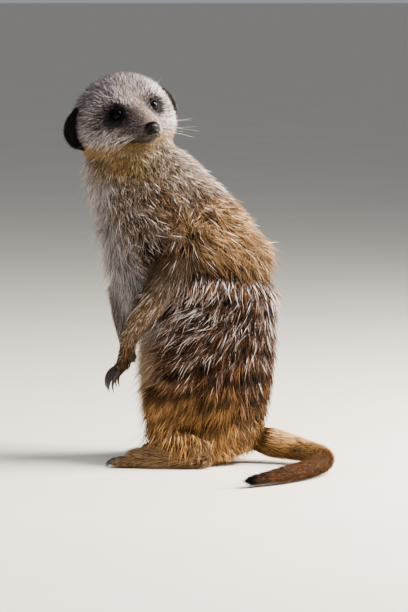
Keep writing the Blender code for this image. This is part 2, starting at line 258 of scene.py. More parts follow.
def digit_layout():
    """Root, tip and side axis of each digit, and its claw's start, aim and bend, as in the frame."""
    found = []
    for side, arm, turn, forward in (
        ("left", LEFT_ARM, 40, (0.1, -0.62, -0.78)),
        ("right", RIGHT_ARM, 28, (0.25, -0.5, -0.83)),
    ):
        curve = smooth_rows(arm, 20)[:, :3]
        palm, aim = curve[-2], unit(curve[-1] - curve[-2])
        across = np.array([math.cos(math.radians(turn)), math.sin(math.radians(turn)), 0])
        for offset in PLACES_ACROSS:
            root = palm + across * offset * 3.7 - aim * 1.7
            heading = unit(np.array(forward) + across * offset * 0.12)
            tip = root + heading * (10.5 - 1.2 * abs(offset - 0.5))
            found.append({
                "limb": "fore", "side": side, "root": root, "tip": tip, "across": across,
                "claw": tip + (0, -0.2, 0.9), "aim": unit(heading + (0, -0.35, 0.1)),
                "down": unit(np.array((0, 0.55, -1))),
            })
    for side, sign in (("left", 1), ("right", -1)):
        curve = smooth_rows(FOOT, 20)[:, :3] * (sign, 1, 1)
        ball = curve[-2]
        for offset in PLACES_ACROSS:
            root = ball + (offset * 4.9, 3, -1.2)
            heading = unit(np.array((sign * 0.15 + offset * 0.09, -1, -0.05)))
            tip = root + heading * (18.5 - 2.2 * abs(offset))
            found.append({
                "limb": "hind", "side": side, "root": root, "tip": tip, "across": np.array((1.0, 0, 0)),
                "claw": tip + (0, 0, 1.2), "aim": unit(heading + (0, 0, 0.1)),
                "down": np.array((0, 0, -1.0)),
            })
    return found


DIGITS = digit_layout()
print(len(DIGITS), "digits")

# %% [markdown]
# ## One skin
# The tubes overlap where limbs meet the body. A voxel remesh joins them into one closed surface with no
# seams. Each tube first notes, on its own points, which part of the body it is, how deep the coat is and
# which way the hair lies. Geometry Nodes then carries those notes to the nearest point of the new skin.

# %% Gather the tubes
PART_NAMES = ("torso", "head", "arm", "leg", "foot", "tail", "finger")


def flipped(rings):
    """The same rings on the animal's other side: the left coordinate changes sign."""
    return [(-r[0], *r[1:]) for r in rings]


def body_tubes():
    """Every tube of flesh with the name of its part."""
    made = [("torso", tube(TORSO, 72, 8, caps=(8, 12)))]
    head = tube(HEAD, 64, 6, side_axis=(0, 1, 0), caps=(7, 4))
    head["points"], head["lie"] = from_head(head["points"]), head["lie"] @ HEAD_TURN.T
    made.append(("head", head))
    for arm in (LEFT_ARM, RIGHT_ARM):
        made.append(("arm", tube(arm, 36, 8, caps=(12, 3))))
    for mirror in (list, flipped):
        made.append(("leg", tube(mirror(THIGH), 40, 8, caps=(10, 9))))
        made.append(("leg", tube(mirror(SHANK), 32, 8, caps=(6, 6))))
        made.append(("foot", tube(mirror(FOOT), 32, 8, caps=(6, 4))))
    made.append(("tail", tube(TAIL, 36, 10, side_axis=(0, 0, 1), caps=(6, 9))))
    for d in DIGITS:
        fore = d["limb"] == "fore"
        sizes = ((2.6, 2.8), (2.45, 2.7), (2.1, 2.4)) if fore else ((3.6, 4.4), (3.2, 3.9), (2.7, 3.0))
        middle = d["root"] + (d["tip"] - d["root"]) * (0.5 if fore else 0.55)
        rings = [(*p, *s, 0.6) for p, s in zip((d["root"], middle, d["tip"]), sizes)]
        made.append(("finger", tube(rings, 18, 5, side_axis=d["across"], caps=(2, 2.2))))
    return made


def gather(tubes):
    """All tubes laid end to end as one mesh: points, notes, and grids of faces with a fan at each end."""
    points, faces, notes, first = [], [], {"turn": [], "coat": [], "lie": [], "part": []}, 0
    for part, t in tubes:
        rows, columns = t["points"].shape[:2]
        ends = t["points"][[0, -1]].mean(axis=1)
        points += [t["points"].reshape(-1, 3), ends]
        notes["part"].append(np.full(rows * columns + 2, PART_NAMES.index(part)))
        for name in ("turn", "coat", "lie"):
            flat = t[name].reshape(rows * columns, -1)
            notes[name].append(np.vstack([flat, flat[:1], flat[-1:]]))
        faces += grid_faces(rows, columns, first).tolist()
        j = np.arange(columns)
        k, low, high = (j + 1) % columns, first + rows * columns, first + (rows - 1) * columns
        faces += np.stack([np.full(columns, low), first + k, first + j], -1).tolist()
        faces += np.stack([np.full(columns, low + 1), high + j, high + k], -1).tolist()
        first += rows * columns + 2
    return np.vstack(points), faces, {name: np.concatenate(rows) for name, rows in notes.items()}


def new_object(name, points, faces):
    """A mesh object at the origin from millimetre points."""
    mesh = bpy.data.meshes.new(name)
    mesh.from_pydata(in_frame(points), [], faces if isinstance(faces, list) else faces.tolist())
    mesh.shade_smooth()
    made = bpy.data.objects.new(name, mesh)
    bpy.context.scene.collection.objects.link(made)
    return made


def note(mesh, name, values):
    """Stores one value or one vector for each point under a name."""
    values = np.ascontiguousarray(values, np.float32)
    kind, key = ("FLOAT", "value") if values.ndim == 1 else ("FLOAT_VECTOR", "vector")
    mesh.attributes.new(name, kind, "POINT").data.foreach_set(key, values.ravel())


flesh_points, flesh_faces, flesh_notes = gather(body_tubes())
flesh = new_object("flesh", flesh_points, flesh_faces)
note(flesh.data, "turn", flesh_notes["turn"])
note(flesh.data, "coat", flesh_notes["coat"][:, 0])
note(flesh.data, "lie", flesh_notes["lie"])
for part_number, part_name in enumerate(PART_NAMES):
    note(flesh.data, part_name, (flesh_notes["part"] == part_number).astype(float))
print("flesh tubes", len(flesh_points), "points")

# %% Remesh and carry the notes over
VOXEL = 1.05 * MM


def carrier(source, fields):
    """A Geometry Nodes group that writes each named field of source, read at its nearest surface."""
    tree = bpy.data.node_groups.new("carry_notes", "GeometryNodeTree")
    tree.interface.new_socket("Geometry", in_out="INPUT", socket_type="NodeSocketGeometry")
    tree.interface.new_socket("Geometry", in_out="OUTPUT", socket_type="NodeSocketGeometry")
    nodes, links = tree.nodes, tree.links
    shape = nodes.new("NodeGroupInput").outputs[0]
    info = nodes.new("GeometryNodeObjectInfo")
    info.inputs["Object"].default_value = source
    for name, kind in fields.items():
        read = nodes.new("GeometryNodeInputNamedAttribute")
        read.data_type = kind
        read.inputs["Name"].default_value = name
        sample = nodes.new("GeometryNodeSampleNearestSurface")
        sample.data_type = kind
        links.new(info.outputs["Geometry"], sample.inputs["Mesh"])
        links.new(read.outputs["Attribute"], sample.inputs["Value"])
        store = nodes.new("GeometryNodeStoreNamedAttribute")
        store.data_type = kind
        store.inputs["Name"].default_value = name
        links.new(shape, store.inputs["Geometry"])
        links.new(sample.outputs["Value"], store.inputs["Value"])
        shape = store.outputs["Geometry"]
    links.new(shape, nodes.new("NodeGroupOutput").inputs[0])
    return tree


def remeshed(source):
    """The tubes joined into one surface, smoothed a little, with the notes carried over."""
    shell = bpy.data.objects.new("shell", source.data.copy())
    bpy.context.scene.collection.objects.link(shell)
    remesh = shell.modifiers.new("join", "REMESH")
    remesh.mode = "VOXEL"
    remesh.voxel_size = VOXEL
    relax = shell.modifiers.new("relax", "SMOOTH")
    relax.factor = 0.5
    relax.iterations = 12
    carry = shell.modifiers.new("carry", "NODES")
    fields = {"turn": "FLOAT_VECTOR", "lie": "FLOAT_VECTOR", "coat": "FLOAT"}
    carry.node_group = carrier(source, {**fields, **{n: "FLOAT" for n in PART_NAMES}})
    graph = bpy.context.evaluated_depsgraph_get()
    mesh = bpy.data.meshes.new_from_object(shell.evaluated_get(graph))
    bpy.data.objects.remove(shell)
    return mesh


def read(items, key, width=1, kind=np.float32):
    """One array from a Blender collection."""
    values = np.empty(len(items) * width, kind)
    items.foreach_get(key, values)
    return values.reshape(-1, width) if width > 1 else values


skin_mesh = remeshed(flesh)
print("skin", len(skin_mesh.vertices), "points", len(skin_mesh.polygons), "faces")

# %% [markdown]
# ## Notes become fields
# Notes taken from the nearest tube jump where one tube ends and the next begins. Letting each point share
# with its neighbours a few times turns the jumps into gradual changes, as real fur changes.

# %% Read the skin


def from_frame(points):
    """Metres in the model's frame back to millimetres in the sitting frame."""
    return (np.asarray(points, float) - SEAT) / MM


def spread(values, edges, rounds):
    """Each round puts at every point the mean of its own value and its neighbours' along the edges."""
    count = len(values)
    near = np.concatenate([edges[:, 0], edges[:, 1]])
    far = np.concatenate([edges[:, 1], edges[:, 0]])
    share = np.bincount(near, minlength=count) + 1
    flat = values.reshape(count, -1).astype(float)
    for _ in range(rounds):
        flat = np.stack([(np.bincount(near, v[far], count) + v) / share for v in flat.T], 1)
    return flat.reshape(values.shape)


def mesh_arrays(mesh):
    """Points, normals, edges and triangles of a mesh, in millimetres."""
    mesh.calc_loop_triangles()
    points = from_frame(read(mesh.vertices, "co", 3))
    normals = read(mesh.vertex_normals, "vector", 3)
    edges = read(mesh.edges, "vertices", 2, np.int32)
    return points, normals, edges, read(mesh.loop_triangles, "vertices", 3, np.int32)


def noted(mesh, name):
    """A stored note as an array."""
    layer = mesh.attributes[name]
    wide = layer.data_type == "FLOAT_VECTOR"
    return read(layer.data, "vector" if wide else "value", 3 if wide else 1)


skin_points, skin_normals, skin_edges, skin_triangles = mesh_arrays(skin_mesh)
parts = {name: spread(noted(skin_mesh, name), skin_edges, 10) for name in PART_NAMES}
print("skin triangles", len(skin_triangles))

# %% [markdown]
# ## The face
# The tube for the head is a plain egg. The face comes from a few soft pushes in the head's own frame:
# rims round the eyes, a dip on each side of the nose bridge, the pads that carry the whiskers, and the
# line of the mouth. Each push is a bell curve round a spot or a line, so they blend with no seams.

# %% Push the face into shape
EYE = np.array([18.4, 13.3, 5.6])
EYE_RADIUS = 5.2
GAZE = unit(np.array([0.80, 0.56, 0.12]))
NOSE = np.array([41.6, 0.0, -7.2])


def bell(distance, width):
    """exp(-(d / w) squared): 1 on the spot and nearly 0 two widths away."""
    return np.exp(-((distance / width) ** 2))


def mouth_height(forward):
    """The mouth's height along the muzzle: level at the nose, lower by the cheek, then turned up."""
    back = np.clip(44 - forward, 0, 30)
    return -14.2 - 1.6 * np.sin(back / 26 * math.pi) + 0.0035 * back**2


def mirror_side(head):
    """The head's points with the left coordinate made positive, so that one rule shapes both sides."""
    return head * (1, 0, 1) + np.abs(head) * (0, 1, 0)


def face_push(head):
    """How far out each point moves along its normal, in millimetres."""
    folded = mirror_side(head)
    to_eye = folded - EYE
    off_axis = np.linalg.norm(to_eye - (to_eye @ GAZE)[:, None] * GAZE, axis=1)
    socket = -2.6 * bell(off_axis, 7.5) * step(-6, 2, to_eye @ GAZE)
    rim = 1.2 * bell(off_axis - 8.4, 2.4) * bell(np.linalg.norm(to_eye, axis=1), 13)
    dip = -2.0 * bell(np.linalg.norm((folded - (27, 9.5, 0.5)) * (0.8, 1, 1), axis=1), 6)
    brow = 1.4 * bell(np.linalg.norm((folded - (16, 12, 17)) * (1, 0.7, 1.3), axis=1), 7)
    pad = 1.5 * bell(np.linalg.norm(folded - (36.5, 7, -11.5), axis=1), 5.5)
    cheek = 1.5 * bell(np.linalg.norm(folded - (10, 26, -12), axis=1), 11)
    in_mouth = step(19, 24, head[:, 0]) * step(-10, -12, head[:, 2])
    mouth = -1.5 * bell(head[:, 2] - mouth_height(head[:, 0]), 1.0) * in_mouth
    temple = -2.6 * bell(np.linalg.norm((folded - (3, 36, 4)) * (0.8, 0.6, 0.7), axis=1), 13)
    chin = 0.9 * bell(np.linalg.norm((folded - (38, 0, -17.5)) * (0.7, 0.8, 1.2), axis=1), 4.5)
    stop = -1.2 * bell(np.linalg.norm((head - (26, 0, 8.5)) * (0.8, 0.8, 1), axis=1), 7)
    return socket + rim + dip + temple + brow + pad + cheek + mouth + chin + stop


def body_push(points):
    """Soft forms of the trunk: a shoulder blade, a fold across the flank with a hollow below, the rump."""
    blade = 2.0 * bell(np.linalg.norm((points - (30, 4, 163)) * (0.7, 0.8, 0.7), axis=1), 14)
    level = points[:, 2] + 0.10 * points[:, 1]
    fold = 2.0 * bell(level - 157, 10) - 2.2 * bell(level - 143, 7)
    flank = fold * step(-26, -2, points[:, 1] + 0.4 * (np.abs(points[:, 0]) - 20))
    rump = 1.5 * bell(np.linalg.norm((points - (0, 40, 60)) * (0.6, 1, 0.5), axis=1), 26)
    return blade + flank + rump


# Where a limb meets the trunk, each point moves towards the mean of its surroundings, and so the
# crease is rounded off.
upper_arm = parts["arm"] * step(122, 140, skin_points[:, 2])
upper_leg = parts["leg"] * step(24, 34, skin_points[:, 2])
joint = (upper_arm + upper_leg + parts["torso"]) * (1 - parts["torso"] ** 4)
joint = spread(joint, skin_edges, 30)[:, None]
rounded = spread(skin_points, skin_edges, 90)
skin_points = skin_points + (rounded - skin_points) * np.clip(joint * 2.5, 0, 1)
head_points = to_head(skin_points)
push = face_push(head_points) * parts["head"] + body_push(skin_points) * parts["torso"]
skin_points = skin_points + skin_normals * push[:, None]
# Nothing sinks into the floor.
skin_points[:, 2] = np.maximum(skin_points[:, 2], 0.2)
skin_mesh.vertices.foreach_set("co", in_frame(skin_points).astype(np.float32).ravel())
skin_mesh.update()
skin_points, skin_normals, skin_edges, skin_triangles = mesh_arrays(skin_mesh)
head_points = to_head(skin_points)
print("face pushed by", push.min().round(1), "to", push.max().round(1), "mm")

# %% [markdown]
# ## Which way the hair lies
# On the head the hair runs back from the nose, on the body down from the neck, on the flank down and
# towards the belly, on the limbs to the claws and on the tail to its tip. Round each eye it fans out from
# the lids. The direction is kept along the skin by taking away its part along the normal.

# %% The lie field


def along_skin(vectors, normals):
    """The part of each vector that lies in the skin, at unit length."""
    return unit(vectors - (vectors * normals).sum(-1, keepdims=True) * normals)


def lie_field():
    """A unit direction at each point of the skin, mixed by body part, then shared with neighbours."""
    path, turn = noted(skin_mesh, "lie"), noted(skin_mesh, "turn")
    side = np.abs(turn[:, :1])
    height = skin_points[:, 2:]
    sweep = step(20, 50, height) * (1 - step(125, 145, height))
    torso = -path + np.array((0, -0.75, 0)) * side * sweep
    torso = torso + np.array((0, 0.25, -0.5)) * step(150, 165, height)
    folded = mirror_side(head_points)
    from_eye = (folded - EYE) * np.where(head_points[:, 1:2] < 0, (1, -1, 1), (1, 1, 1))
    fan = bell(np.linalg.norm(from_eye, axis=1, keepdims=True), 9)
    backwards = np.array((-1.0, 0, -0.12)) + np.array((0, 0, -0.25)) * step(10, 28, folded[:, 1:2])
    head = (unit(backwards) * (1 - fan) + unit(from_eye) * fan * 1.3) @ HEAD_TURN.T
    leg = np.array((0, -0.4, -1.0)) + path * 0.1
    mixed = (
        torso * parts["torso"][:, None]
        + head * parts["head"][:, None]
        + leg * parts["leg"][:, None]
        + path * (parts["arm"] + parts["foot"] + parts["tail"] + parts["finger"])[:, None]
    )
    mixed = spread(along_skin(mixed, skin_normals), skin_edges, 14)
    swirl = np.stack([ripple(skin_points, 34, k) for k in (21, 22, 23)], 1) * 0.26
    mane_share = step(140, 160, height) * (1 - 0.6 * step(180, 205, height))
    tousle = np.stack([ripple(skin_points, 15, k) for k in (31, 32, 33)], 1) * 0.58 * mane_share
    loose = (parts["torso"] + parts["leg"])[:, None]
    return along_skin(mixed + (swirl + tousle) * loose, skin_normals)


def ripple(points, size, seed, waves=7):
    """Smooth noise near -1 to 1: a sum of sine waves in random directions, each about size mm long."""
    draw = np.random.default_rng(seed)
    heading = unit(draw.normal(size=(waves, 3)))
    waves_per_mm = heading * 2 * math.pi / (size * draw.uniform(0.7, 1.5, (waves, 1)))
    start = draw.uniform(0, 2 * math.pi, waves)
    return np.sin(points @ waves_per_mm.T + start).sum(1) / math.sqrt(waves)


skin_lie = lie_field()
skin_coat = spread(noted(skin_mesh, "coat"), skin_edges, 14)
print("coat depth", skin_coat.min().round(1), "to", skin_coat.max().round(1), "mm")

# %% [markdown]
# ## Markings
# A meerkat's front is pale silver, its shoulders grizzled, its upper back rufous. Broken dark bars cross
# the lower back, the haunches and feet are golden, the tail darkens to a black tip, and each eye sits in
# a dark patch. Two masks also carry painted shade: the bars' mask darkens the hollow under the flank's
# fold, and the sable mask darkens a band above the mouth. Each marking is a mask from 0 to 1, worked out
# from where a point is. The skin and the tufts use the same masks, so they always agree.

# %% The masks
BAR_SPACING = 14.5
MARKS = (
    "rufous", "grizzle", "pale", "golden", "ochre", "sable",
    "russet", "crown", "bridge", "bar_and_crease_shade", "dark", "frost",
)


def body_marks(points, turn, part):
    """The masks of trunk and limbs. The trunk's turn is 1 along the spine and -1 along the breast."""
    height, depth = points[:, 2], points[:, 1]
    fine, broad = ripple(points, 9, 1), ripple(points, 30, 2)
    limb = part["arm"] + part["leg"]
    back = np.where(limb > 0.5, 0.3, turn[:, 1])
    medial = limb * step(0.1, 0.7, -np.sign(points[:, 0]) * turn[:, 0])
    front = part["arm"] * step(0.1, 0.9, turn[:, 1]) * (1 - medial)
    dorsal = step(-0.66, -0.26, back + 0.14 * broad)
    body = part["torso"] + part["leg"] * 0.9 + part["arm"] * step(125, 150, height)
    mantle = body * dorsal * step(138, 149, height + 6 * broad)
    rufous = mantle * (1 - step(182, 206, height + 5 * broad)) * step(-0.15, 0.5, back)
    grizzle = mantle * (1 - 0.85 * rufous) + 0.75 * part["arm"] * step(92, 135, height)
    pale = np.maximum((part["torso"] + part["leg"]) * (1 - dorsal), 0.8 * medial * (1 - part["leg"]))
    toes = part["foot"] + part["finger"] * (height < 45)
    pale = pale + 0.7 * toes
    arm_tan = part["arm"] * step(146, 112, height) * (1 - medial)
    low = part["leg"] * step(100, 26, height + 9 * broad + 4 * fine)
    low = low + part["torso"] * step(74, 20, height + 8 * broad + 4 * fine)
    fringe = 0.6 * part["torso"] * (1 - dorsal) * step(125, 85, height)
    golden = low + fringe + 0.78 * toes + part["tail"] * step(0.80, 0.52, turn[:, 2])
    golden = np.clip(golden, 0, 1)
    sable = 0.75 * front + 0.2 * part["arm"] * step(85, 76, height) + 0.5 * part["finger"] * (height > 45)
    mirrored = np.abs(points) * (1, 0, 0) + points * (0, 1, 1)
    near_shoulder = bell(np.linalg.norm((mirrored - (30, -22, 159)) / (20, 15, 19), axis=1), 1.0)
    sable = sable + 0.25 * part["arm"] * step(96, 125, height)
    sable = sable + 0.8 * (part["torso"] + part["arm"]) * near_shoulder
    sable = np.clip(sable, 0, 1)
    russet = part["tail"] * step(0.48, 0.82, turn[:, 2] + 0.03 * fine)
    wave = np.sin(2 * math.pi * (height - 0.30 * depth + 2.4 * broad) / BAR_SPACING)
    bars = step(-0.30, 0.35, wave + 0.6 * fine) * step(26, 82, height + 34 * back)
    bars = bars * (1 - step(126, 138, height))
    # Painted shade: a dark band along the hollow under the flank's fold, put into the mask of the dark
    # bars.
    crease_shade = 0.45 * bell(height - 143 + 0.10 * depth + 4 * broad, 5.5) * step(-26, -6, depth)
    bar_and_crease_shade = np.clip((part["torso"] + part["leg"]) * dorsal * np.maximum(bars, crease_shade), 0, 1)
    frost = body * dorsal * step(46, 118, height + 6 * broad)
    frost = frost * (1 - 0.90 * rufous - 0.5 * mantle * (1 - rufous))
    frost = frost * (1 - 0.5 * part["arm"]) + 0.4 * part["arm"] * (1 - medial) * step(150, 120, height)
    frost = frost * (1 - 0.8 * near_shoulder)
    dark = part["tail"] * step(0.84, 0.96, turn[:, 2] + 0.03 * fine)
    throat = part["torso"] * step(199, 217, height) * bell(back + 0.08, 0.62)
    ochre = np.maximum(0.9 * throat, 0.5 * arm_tan)
    frost = frost * (1 - throat) * (1 - 0.25 * step(180, 205, height))
    return {
        "rufous": rufous, "grizzle": grizzle, "pale": pale, "golden": golden, "ochre": ochre,
        "sable": sable, "russet": russet, "bar_and_crease_shade": bar_and_crease_shade, "dark": dark, "frost": frost,
    }


def face_marks(points, part):
    """The masks of the head, in its own frame: crown, cheeks, jaw, dark eye patches, bridge, lips, and
    painted shade above the mouth.
    """
    head = to_head(points)
    folded = mirror_side(head)
    fine = ripple(points, 6, 1)
    low = step(-6, -15, head[:, 2] + 0.28 * np.clip(head[:, 0], -10, 40) - 2)
    mouth = head[:, 2] - mouth_height(head[:, 0])
    ahead = step(16, 24, head[:, 0])
    ochre = np.maximum(low * step(-16, 2, head[:, 0]), ahead * step(0.5, -2.0, mouth))
    ochre = ochre * step(44, 36, head[:, 0])
    eye_far = np.linalg.norm((folded - (19.5, 13.2, 4.6)) / (12.5, 10.4, 7.5), axis=1)
    trail = np.linalg.norm((folded - (11, 24, 1)) / (9, 6, 5), axis=1)
    patch = np.maximum(0.94 * step(1.42, 0.66, eye_far + 0.09 * fine), 0.5 * step(1.3, 0.5, trail))
    lips = bell(mouth, 1.0) * step(19, 24, head[:, 0]) * step(-9, -11, head[:, 2])
    # Painted shade: a dark band just above the mouth line, under the overhang of the muzzle, laid into the
    # sable mask.
    mouth_shade = 0.7 * bell(mouth - 1.2, 2.9) * ahead * step(-7, -10, head[:, 2])
    bridge = bell(folded[:, 1], 6.5) * step(14, 25, head[:, 0]) * step(-9, -3, head[:, 2])
    pale = 0.75 * step(16, 27, folded[:, 1]) * step(7, -5, head[:, 2]) * (1 - 0.8 * ochre)
    chin = bell(np.linalg.norm(head - (42, 0, -18), axis=1), 6.5)
    ochre = ochre * (1 - 0.8 * chin)
    pale = np.maximum(pale, 0.9 * chin)
    on = part["head"]
    frost = 0.42 * (1 - patch) * (1 - ochre) * step(34, 20, head[:, 0])
    return {
        "crown": on, "pale": on * pale, "ochre": on * ochre, "bridge": on * bridge, "sable": on * mouth_shade,
        "dark": on * np.maximum(patch, 0.55 * lips), "frost": on * frost,
    }


def markings(points, turn, part):
    """All masks, from 0 to 1, in the order of MARKS: the stronger of the body's and the face's counts."""
    body, face = body_marks(points, turn, part), face_marks(points, part)
    empty = np.zeros(len(points))
    stronger = [np.maximum(body.get(mark, empty), face.get(mark, empty)) for mark in MARKS]
    return np.clip(np.stack(stronger, 1), 0, 1)


skin_turn = noted(skin_mesh, "turn")
skin_marks = markings(skin_points, skin_turn, parts)
print("markings", dict(zip(MARKS, skin_marks.mean(0).round(3))))

# %% [markdown]
# ## Pieces of the face
# The eyeballs are round with a slight swell over the cornea. Each sits in a lid, a dark rim that slides
# over the ball and leaves an almond opening. The nose is a rounded pad with two nostrils and a groove,
# and the ears are thin cupped crescents. All are grids of two angles, or loops carried round a path.

# %% Eyeballs


def axes_from(aim, upward=(0, 0, 1)):
    """Three unit axes as columns: aim, across and up."""
    aim = unit(np.array(aim, float))
    across = unit(np.cross(upward, aim))
    return np.stack([aim, across, np.cross(aim, across)], 1)


def on_ball(polar, turn):
    """Unit vectors at polar angle p and turn t round the first axis: (cos p, sin p cos t, sin p sin t)."""
    three = np.cos(polar), np.sin(polar) * np.cos(turn), np.sin(polar) * np.sin(turn)
    return np.stack(np.broadcast_arrays(*three), -1)


def closed_ball(rows, columns):
    """Unit vectors of a ball about its first axis: polar angle down the rows, turn along the columns."""
    polar = np.linspace(0.02, math.pi - 0.02, rows)[:, None]
    return on_ball(polar, np.arange(columns)[None] * 2 * math.pi / columns)


def capped(points):
    """A grid of rings with a middle point at each end: all points, and the faces that close it."""
    rows, columns = points.shape[:2]
    ends = points[[0, -1]].mean(axis=1)
    j = np.arange(columns)
    k, last = (j + 1) % columns, (rows - 1) * columns
    fans = [np.stack([np.full(columns, rows * columns), k, j], -1)]
    fans.append(np.stack([np.full(columns, rows * columns + 1), last + j, last + k], -1))
    faces = grid_faces(rows, columns).tolist() + fans[0].tolist() + fans[1].tolist()
    return np.vstack([points.reshape(-1, 3), ends]), faces


def outward(made):
    """Turns the faces of a closed mesh to point out, by the sign of its volume."""
    mesh = made.data
    mesh.calc_loop_triangles()
    corners = read(mesh.vertices, "co", 3)[read(mesh.loop_triangles, "vertices", 3, np.int32)]
    if np.einsum("ij,ij->i", corners[:, 0], np.cross(corners[:, 1], corners[:, 2])).sum() < 0:
        mesh.flip_normals()
    return made


def on_side(left_points, side):
    """Points made for the head's left side, mirrored for its right, in the sitting frame."""
    return from_head(left_points * (1, 1 if side == "left" else -1, 1))


BALL_COLUMNS = 48
BALL = closed_ball(40, BALL_COLUMNS)
SWELL = 0.45 * bell(np.arccos(BALL[..., :1]), 0.62)
eyes = {}
for side in ("left", "right"):
    ball_points, ball_faces = capped((BALL * (EYE_RADIUS + SWELL)) @ axes_from(GAZE).T + EYE)
    eyes[side] = outward(new_object(f"eyeball_{side}", on_side(ball_points, side), ball_faces))
    row_angle = np.arccos(np.clip(BALL[:, 0, 0], -1, 1))
    note(eyes[side].data, "polar", np.append(np.repeat(row_angle, BALL_COLUMNS), (0, math.pi)))
print("eyeballs", len(ball_points), "points each")

# %% Eyelids
LID_ROWS = 84


def lid_loop():
    """A closed loop carried round the eye. At turn a the opening is at polar angle p(a), wider at the
    two corners. The loop runs from the ball over the thick lid edge, out along the ball to under the
    skin, and back."""
    turn = np.arange(LID_ROWS) * 2 * math.pi / LID_ROWS
    opening = np.radians(44 + 7 * np.cos(turn) ** 2 - 2.5 * np.sin(turn)) + 0.10 * np.cos(turn) ** 8
    reach = np.array([0.0, -0.03, 0.02, 0.10, 0.25, 0.5, 0.85, 1.1, 1.1, 0.7, 0.3, 0.1])
    lift = np.array([-0.15, 0.30, 0.62, 0.72, 0.70, 0.6, 0.35, 0.0, -0.6, -0.6, -0.5, -0.4])
    polar = opening[:, None] + reach[None]
    radius = EYE_RADIUS + lift[None] + 0.28 * bell(polar, 0.62)
    return on_ball(polar, turn[:, None]) * radius[..., None]


lids = {}
for side in ("left", "right"):
    lid = lid_loop() @ axes_from(GAZE).T + EYE
    faces = grid_faces(*lid.shape[:2], closed_rows=True)
    lids[side] = outward(new_object(f"eyelid_{side}", on_side(lid.reshape(-1, 3), side), faces))
print("eyelids", len(lids["left"].data.vertices), "points each")

# %% Nose


def nose_grid():
    """A ball pressed wide and low, a little square, with a pit for each nostril and a middle groove."""
    ball = closed_ball(56, 72)
    shape = np.sign(ball) * np.abs(ball) ** np.array((1.0, 0.85, 0.9)) * (5.4, 5.4, 4.6)
    shape[..., 2] += 0.10 * shape[..., 0] - 0.25 * np.abs(shape[..., 1]) * (shape[..., 2] < 0)
    across, up = shape[..., 1], shape[..., 2]
    front = step(0.5, 3.2, shape[..., 0])
    pit = bell(np.hypot((np.abs(across) - 2.7 - 0.25 * up) / 1.3, (up + 0.4) / 0.9), 1.0)
    slit = bell(np.hypot(np.abs(across) - 4.25, (up + 1.25) / 0.6), 0.9)
    groove = bell(across, 0.32) * step(1.6, -0.4, up)
    return shape - ball * (1.7 * pit + 1.0 * slit + 0.5 * groove)[..., None] * front[..., None]


NOSE_TILT = np.array(Euler((0, math.radians(10), 0)).to_matrix())
nose_points, nose_faces = capped(nose_grid() @ NOSE_TILT.T + NOSE)
nose = outward(new_object("nose_pad", from_head(nose_points), nose_faces))
print("nose", len(nose_points), "points")

# %% Ears
# The ear's rings run from its top to its bottom in the head's frame, with no coat.
EAR = [
    (-6, 31.6, 12.4, 3.8, 1.4, 0), (-8, 34.6, 6, 6.9, 1.4, 0), (-9, 36, -1, 8.0, 1.5, 0),
    (-8, 35, -7.6, 6.7, 1.4, 0), (-6, 32.6, -12, 3.8, 1.3, 0),
]


def ear_grid():
    """A thin tube bent into a cup: each ring is a flat ellipse whose middle is pushed back by 2.2 mm
    times one less the square of the place across it, with two low ridges on the inside."""
    side_axis = np.array((-0.2, 0.98, 0.0))
    shape = tube(EAR, 56, 10, side_axis=side_axis, caps=(2.3, 2.3), cap_rows=8)["points"]
    off = (shape - shape.mean(axis=1, keepdims=True)) @ unit(side_axis)
    wide = off / np.maximum(np.abs(off).max(axis=1, keepdims=True), 1)
    back = unit(np.array((-0.98, -0.2, 0.0)))
    cup = 2.2 * (1 - wide**2) - 1.1
    return shape + back * (cup + 0.35 * np.cos(wide * 9))[..., None]


ears = {}
for side in ("left", "right"):
    ear_points, ear_faces = capped(ear_grid())
    ears[side] = outward(new_object(f"ear_shell_{side}", on_side(ear_points, side), ear_faces))
print("ears", len(ear_points), "points each")

# %% [markdown]
# ## Claws and whiskers
# A claw is a horn sheath that narrows along an arc and is a little flattened at the sides. A whisker is a
# stiff tapering hair. Both are rings on a curve, and all the claws of a paw are one mesh.

# %% Claws


def carried(curve, side_axis, wide, deep, sides):
    """Rings round a curve: ring i at angle a is point + across * wide * cos a + other * deep * sin a."""
    tangent = unit(np.gradient(curve, axis=0))
    axis = np.array(side_axis, float)
    across = unit(axis - (tangent @ axis)[:, None] * tangent)
    other = np.cross(tangent, across)
    angle = np.arange(sides) * 2 * math.pi / sides
    ring = across[:, None] * np.cos(angle)[None, :, None] * wide[:, None, None]
    return curve[:, None] + ring + other[:, None] * np.sin(angle)[None, :, None] * deep[:, None, None]


CLAW_SIDES = 16


def claw_grid(digit):
    """An arc of 75 degrees from the digit's tip. The radius shrinks by the way along to the power 1.7."""
    radius, length = (1.5, 16.0) if digit["limb"] == "fore" else (1.3, 8.0)
    share = np.linspace(-0.12, 1, 26)
    bend = math.radians(75)
    down = unit(digit["down"] - digit["down"] @ digit["aim"] * digit["aim"])
    arc = length / bend
    curve = digit["claw"] + arc * (
        np.sin(bend * share)[:, None] * digit["aim"] + (1 - np.cos(bend * share))[:, None] * down
    )
    curve[:, 2] = np.maximum(curve[:, 2], 0.25)
    thick = radius * (1 - np.clip(share, 0, 1) ** 1.7) * 0.98 + 0.12
    return carried(curve, digit["across"], thick * 0.72, thick, CLAW_SIDES), share


def joined(name, grids):
    """Several closed grids of rings as one mesh object."""
    points, faces, first = [], [], 0
    for grid in grids:
        some, some_faces = capped(grid)
        points.append(some)
        faces += [[first + v for v in face] for face in some_faces]
        first += len(some)
    return outward(new_object(name, np.vstack(points), faces))


claws = {}
for limb in ("fore", "hind"):
    for side in ("left", "right"):
        paw = [d for d in DIGITS if (d["limb"], d["side"]) == (limb, side)]
        grids, shares = zip(*[claw_grid(d) for d in paw])
        claws[limb, side] = joined(f"{limb}_claws_{side}", grids)
        along_claw = [np.append(np.repeat(s, CLAW_SIDES), (s[0], s[-1])) for s in shares]
        note(claws[limb, side].data, "along", np.concatenate(along_claw))
print("claws on", len(claws), "paws")

# %% Whiskers


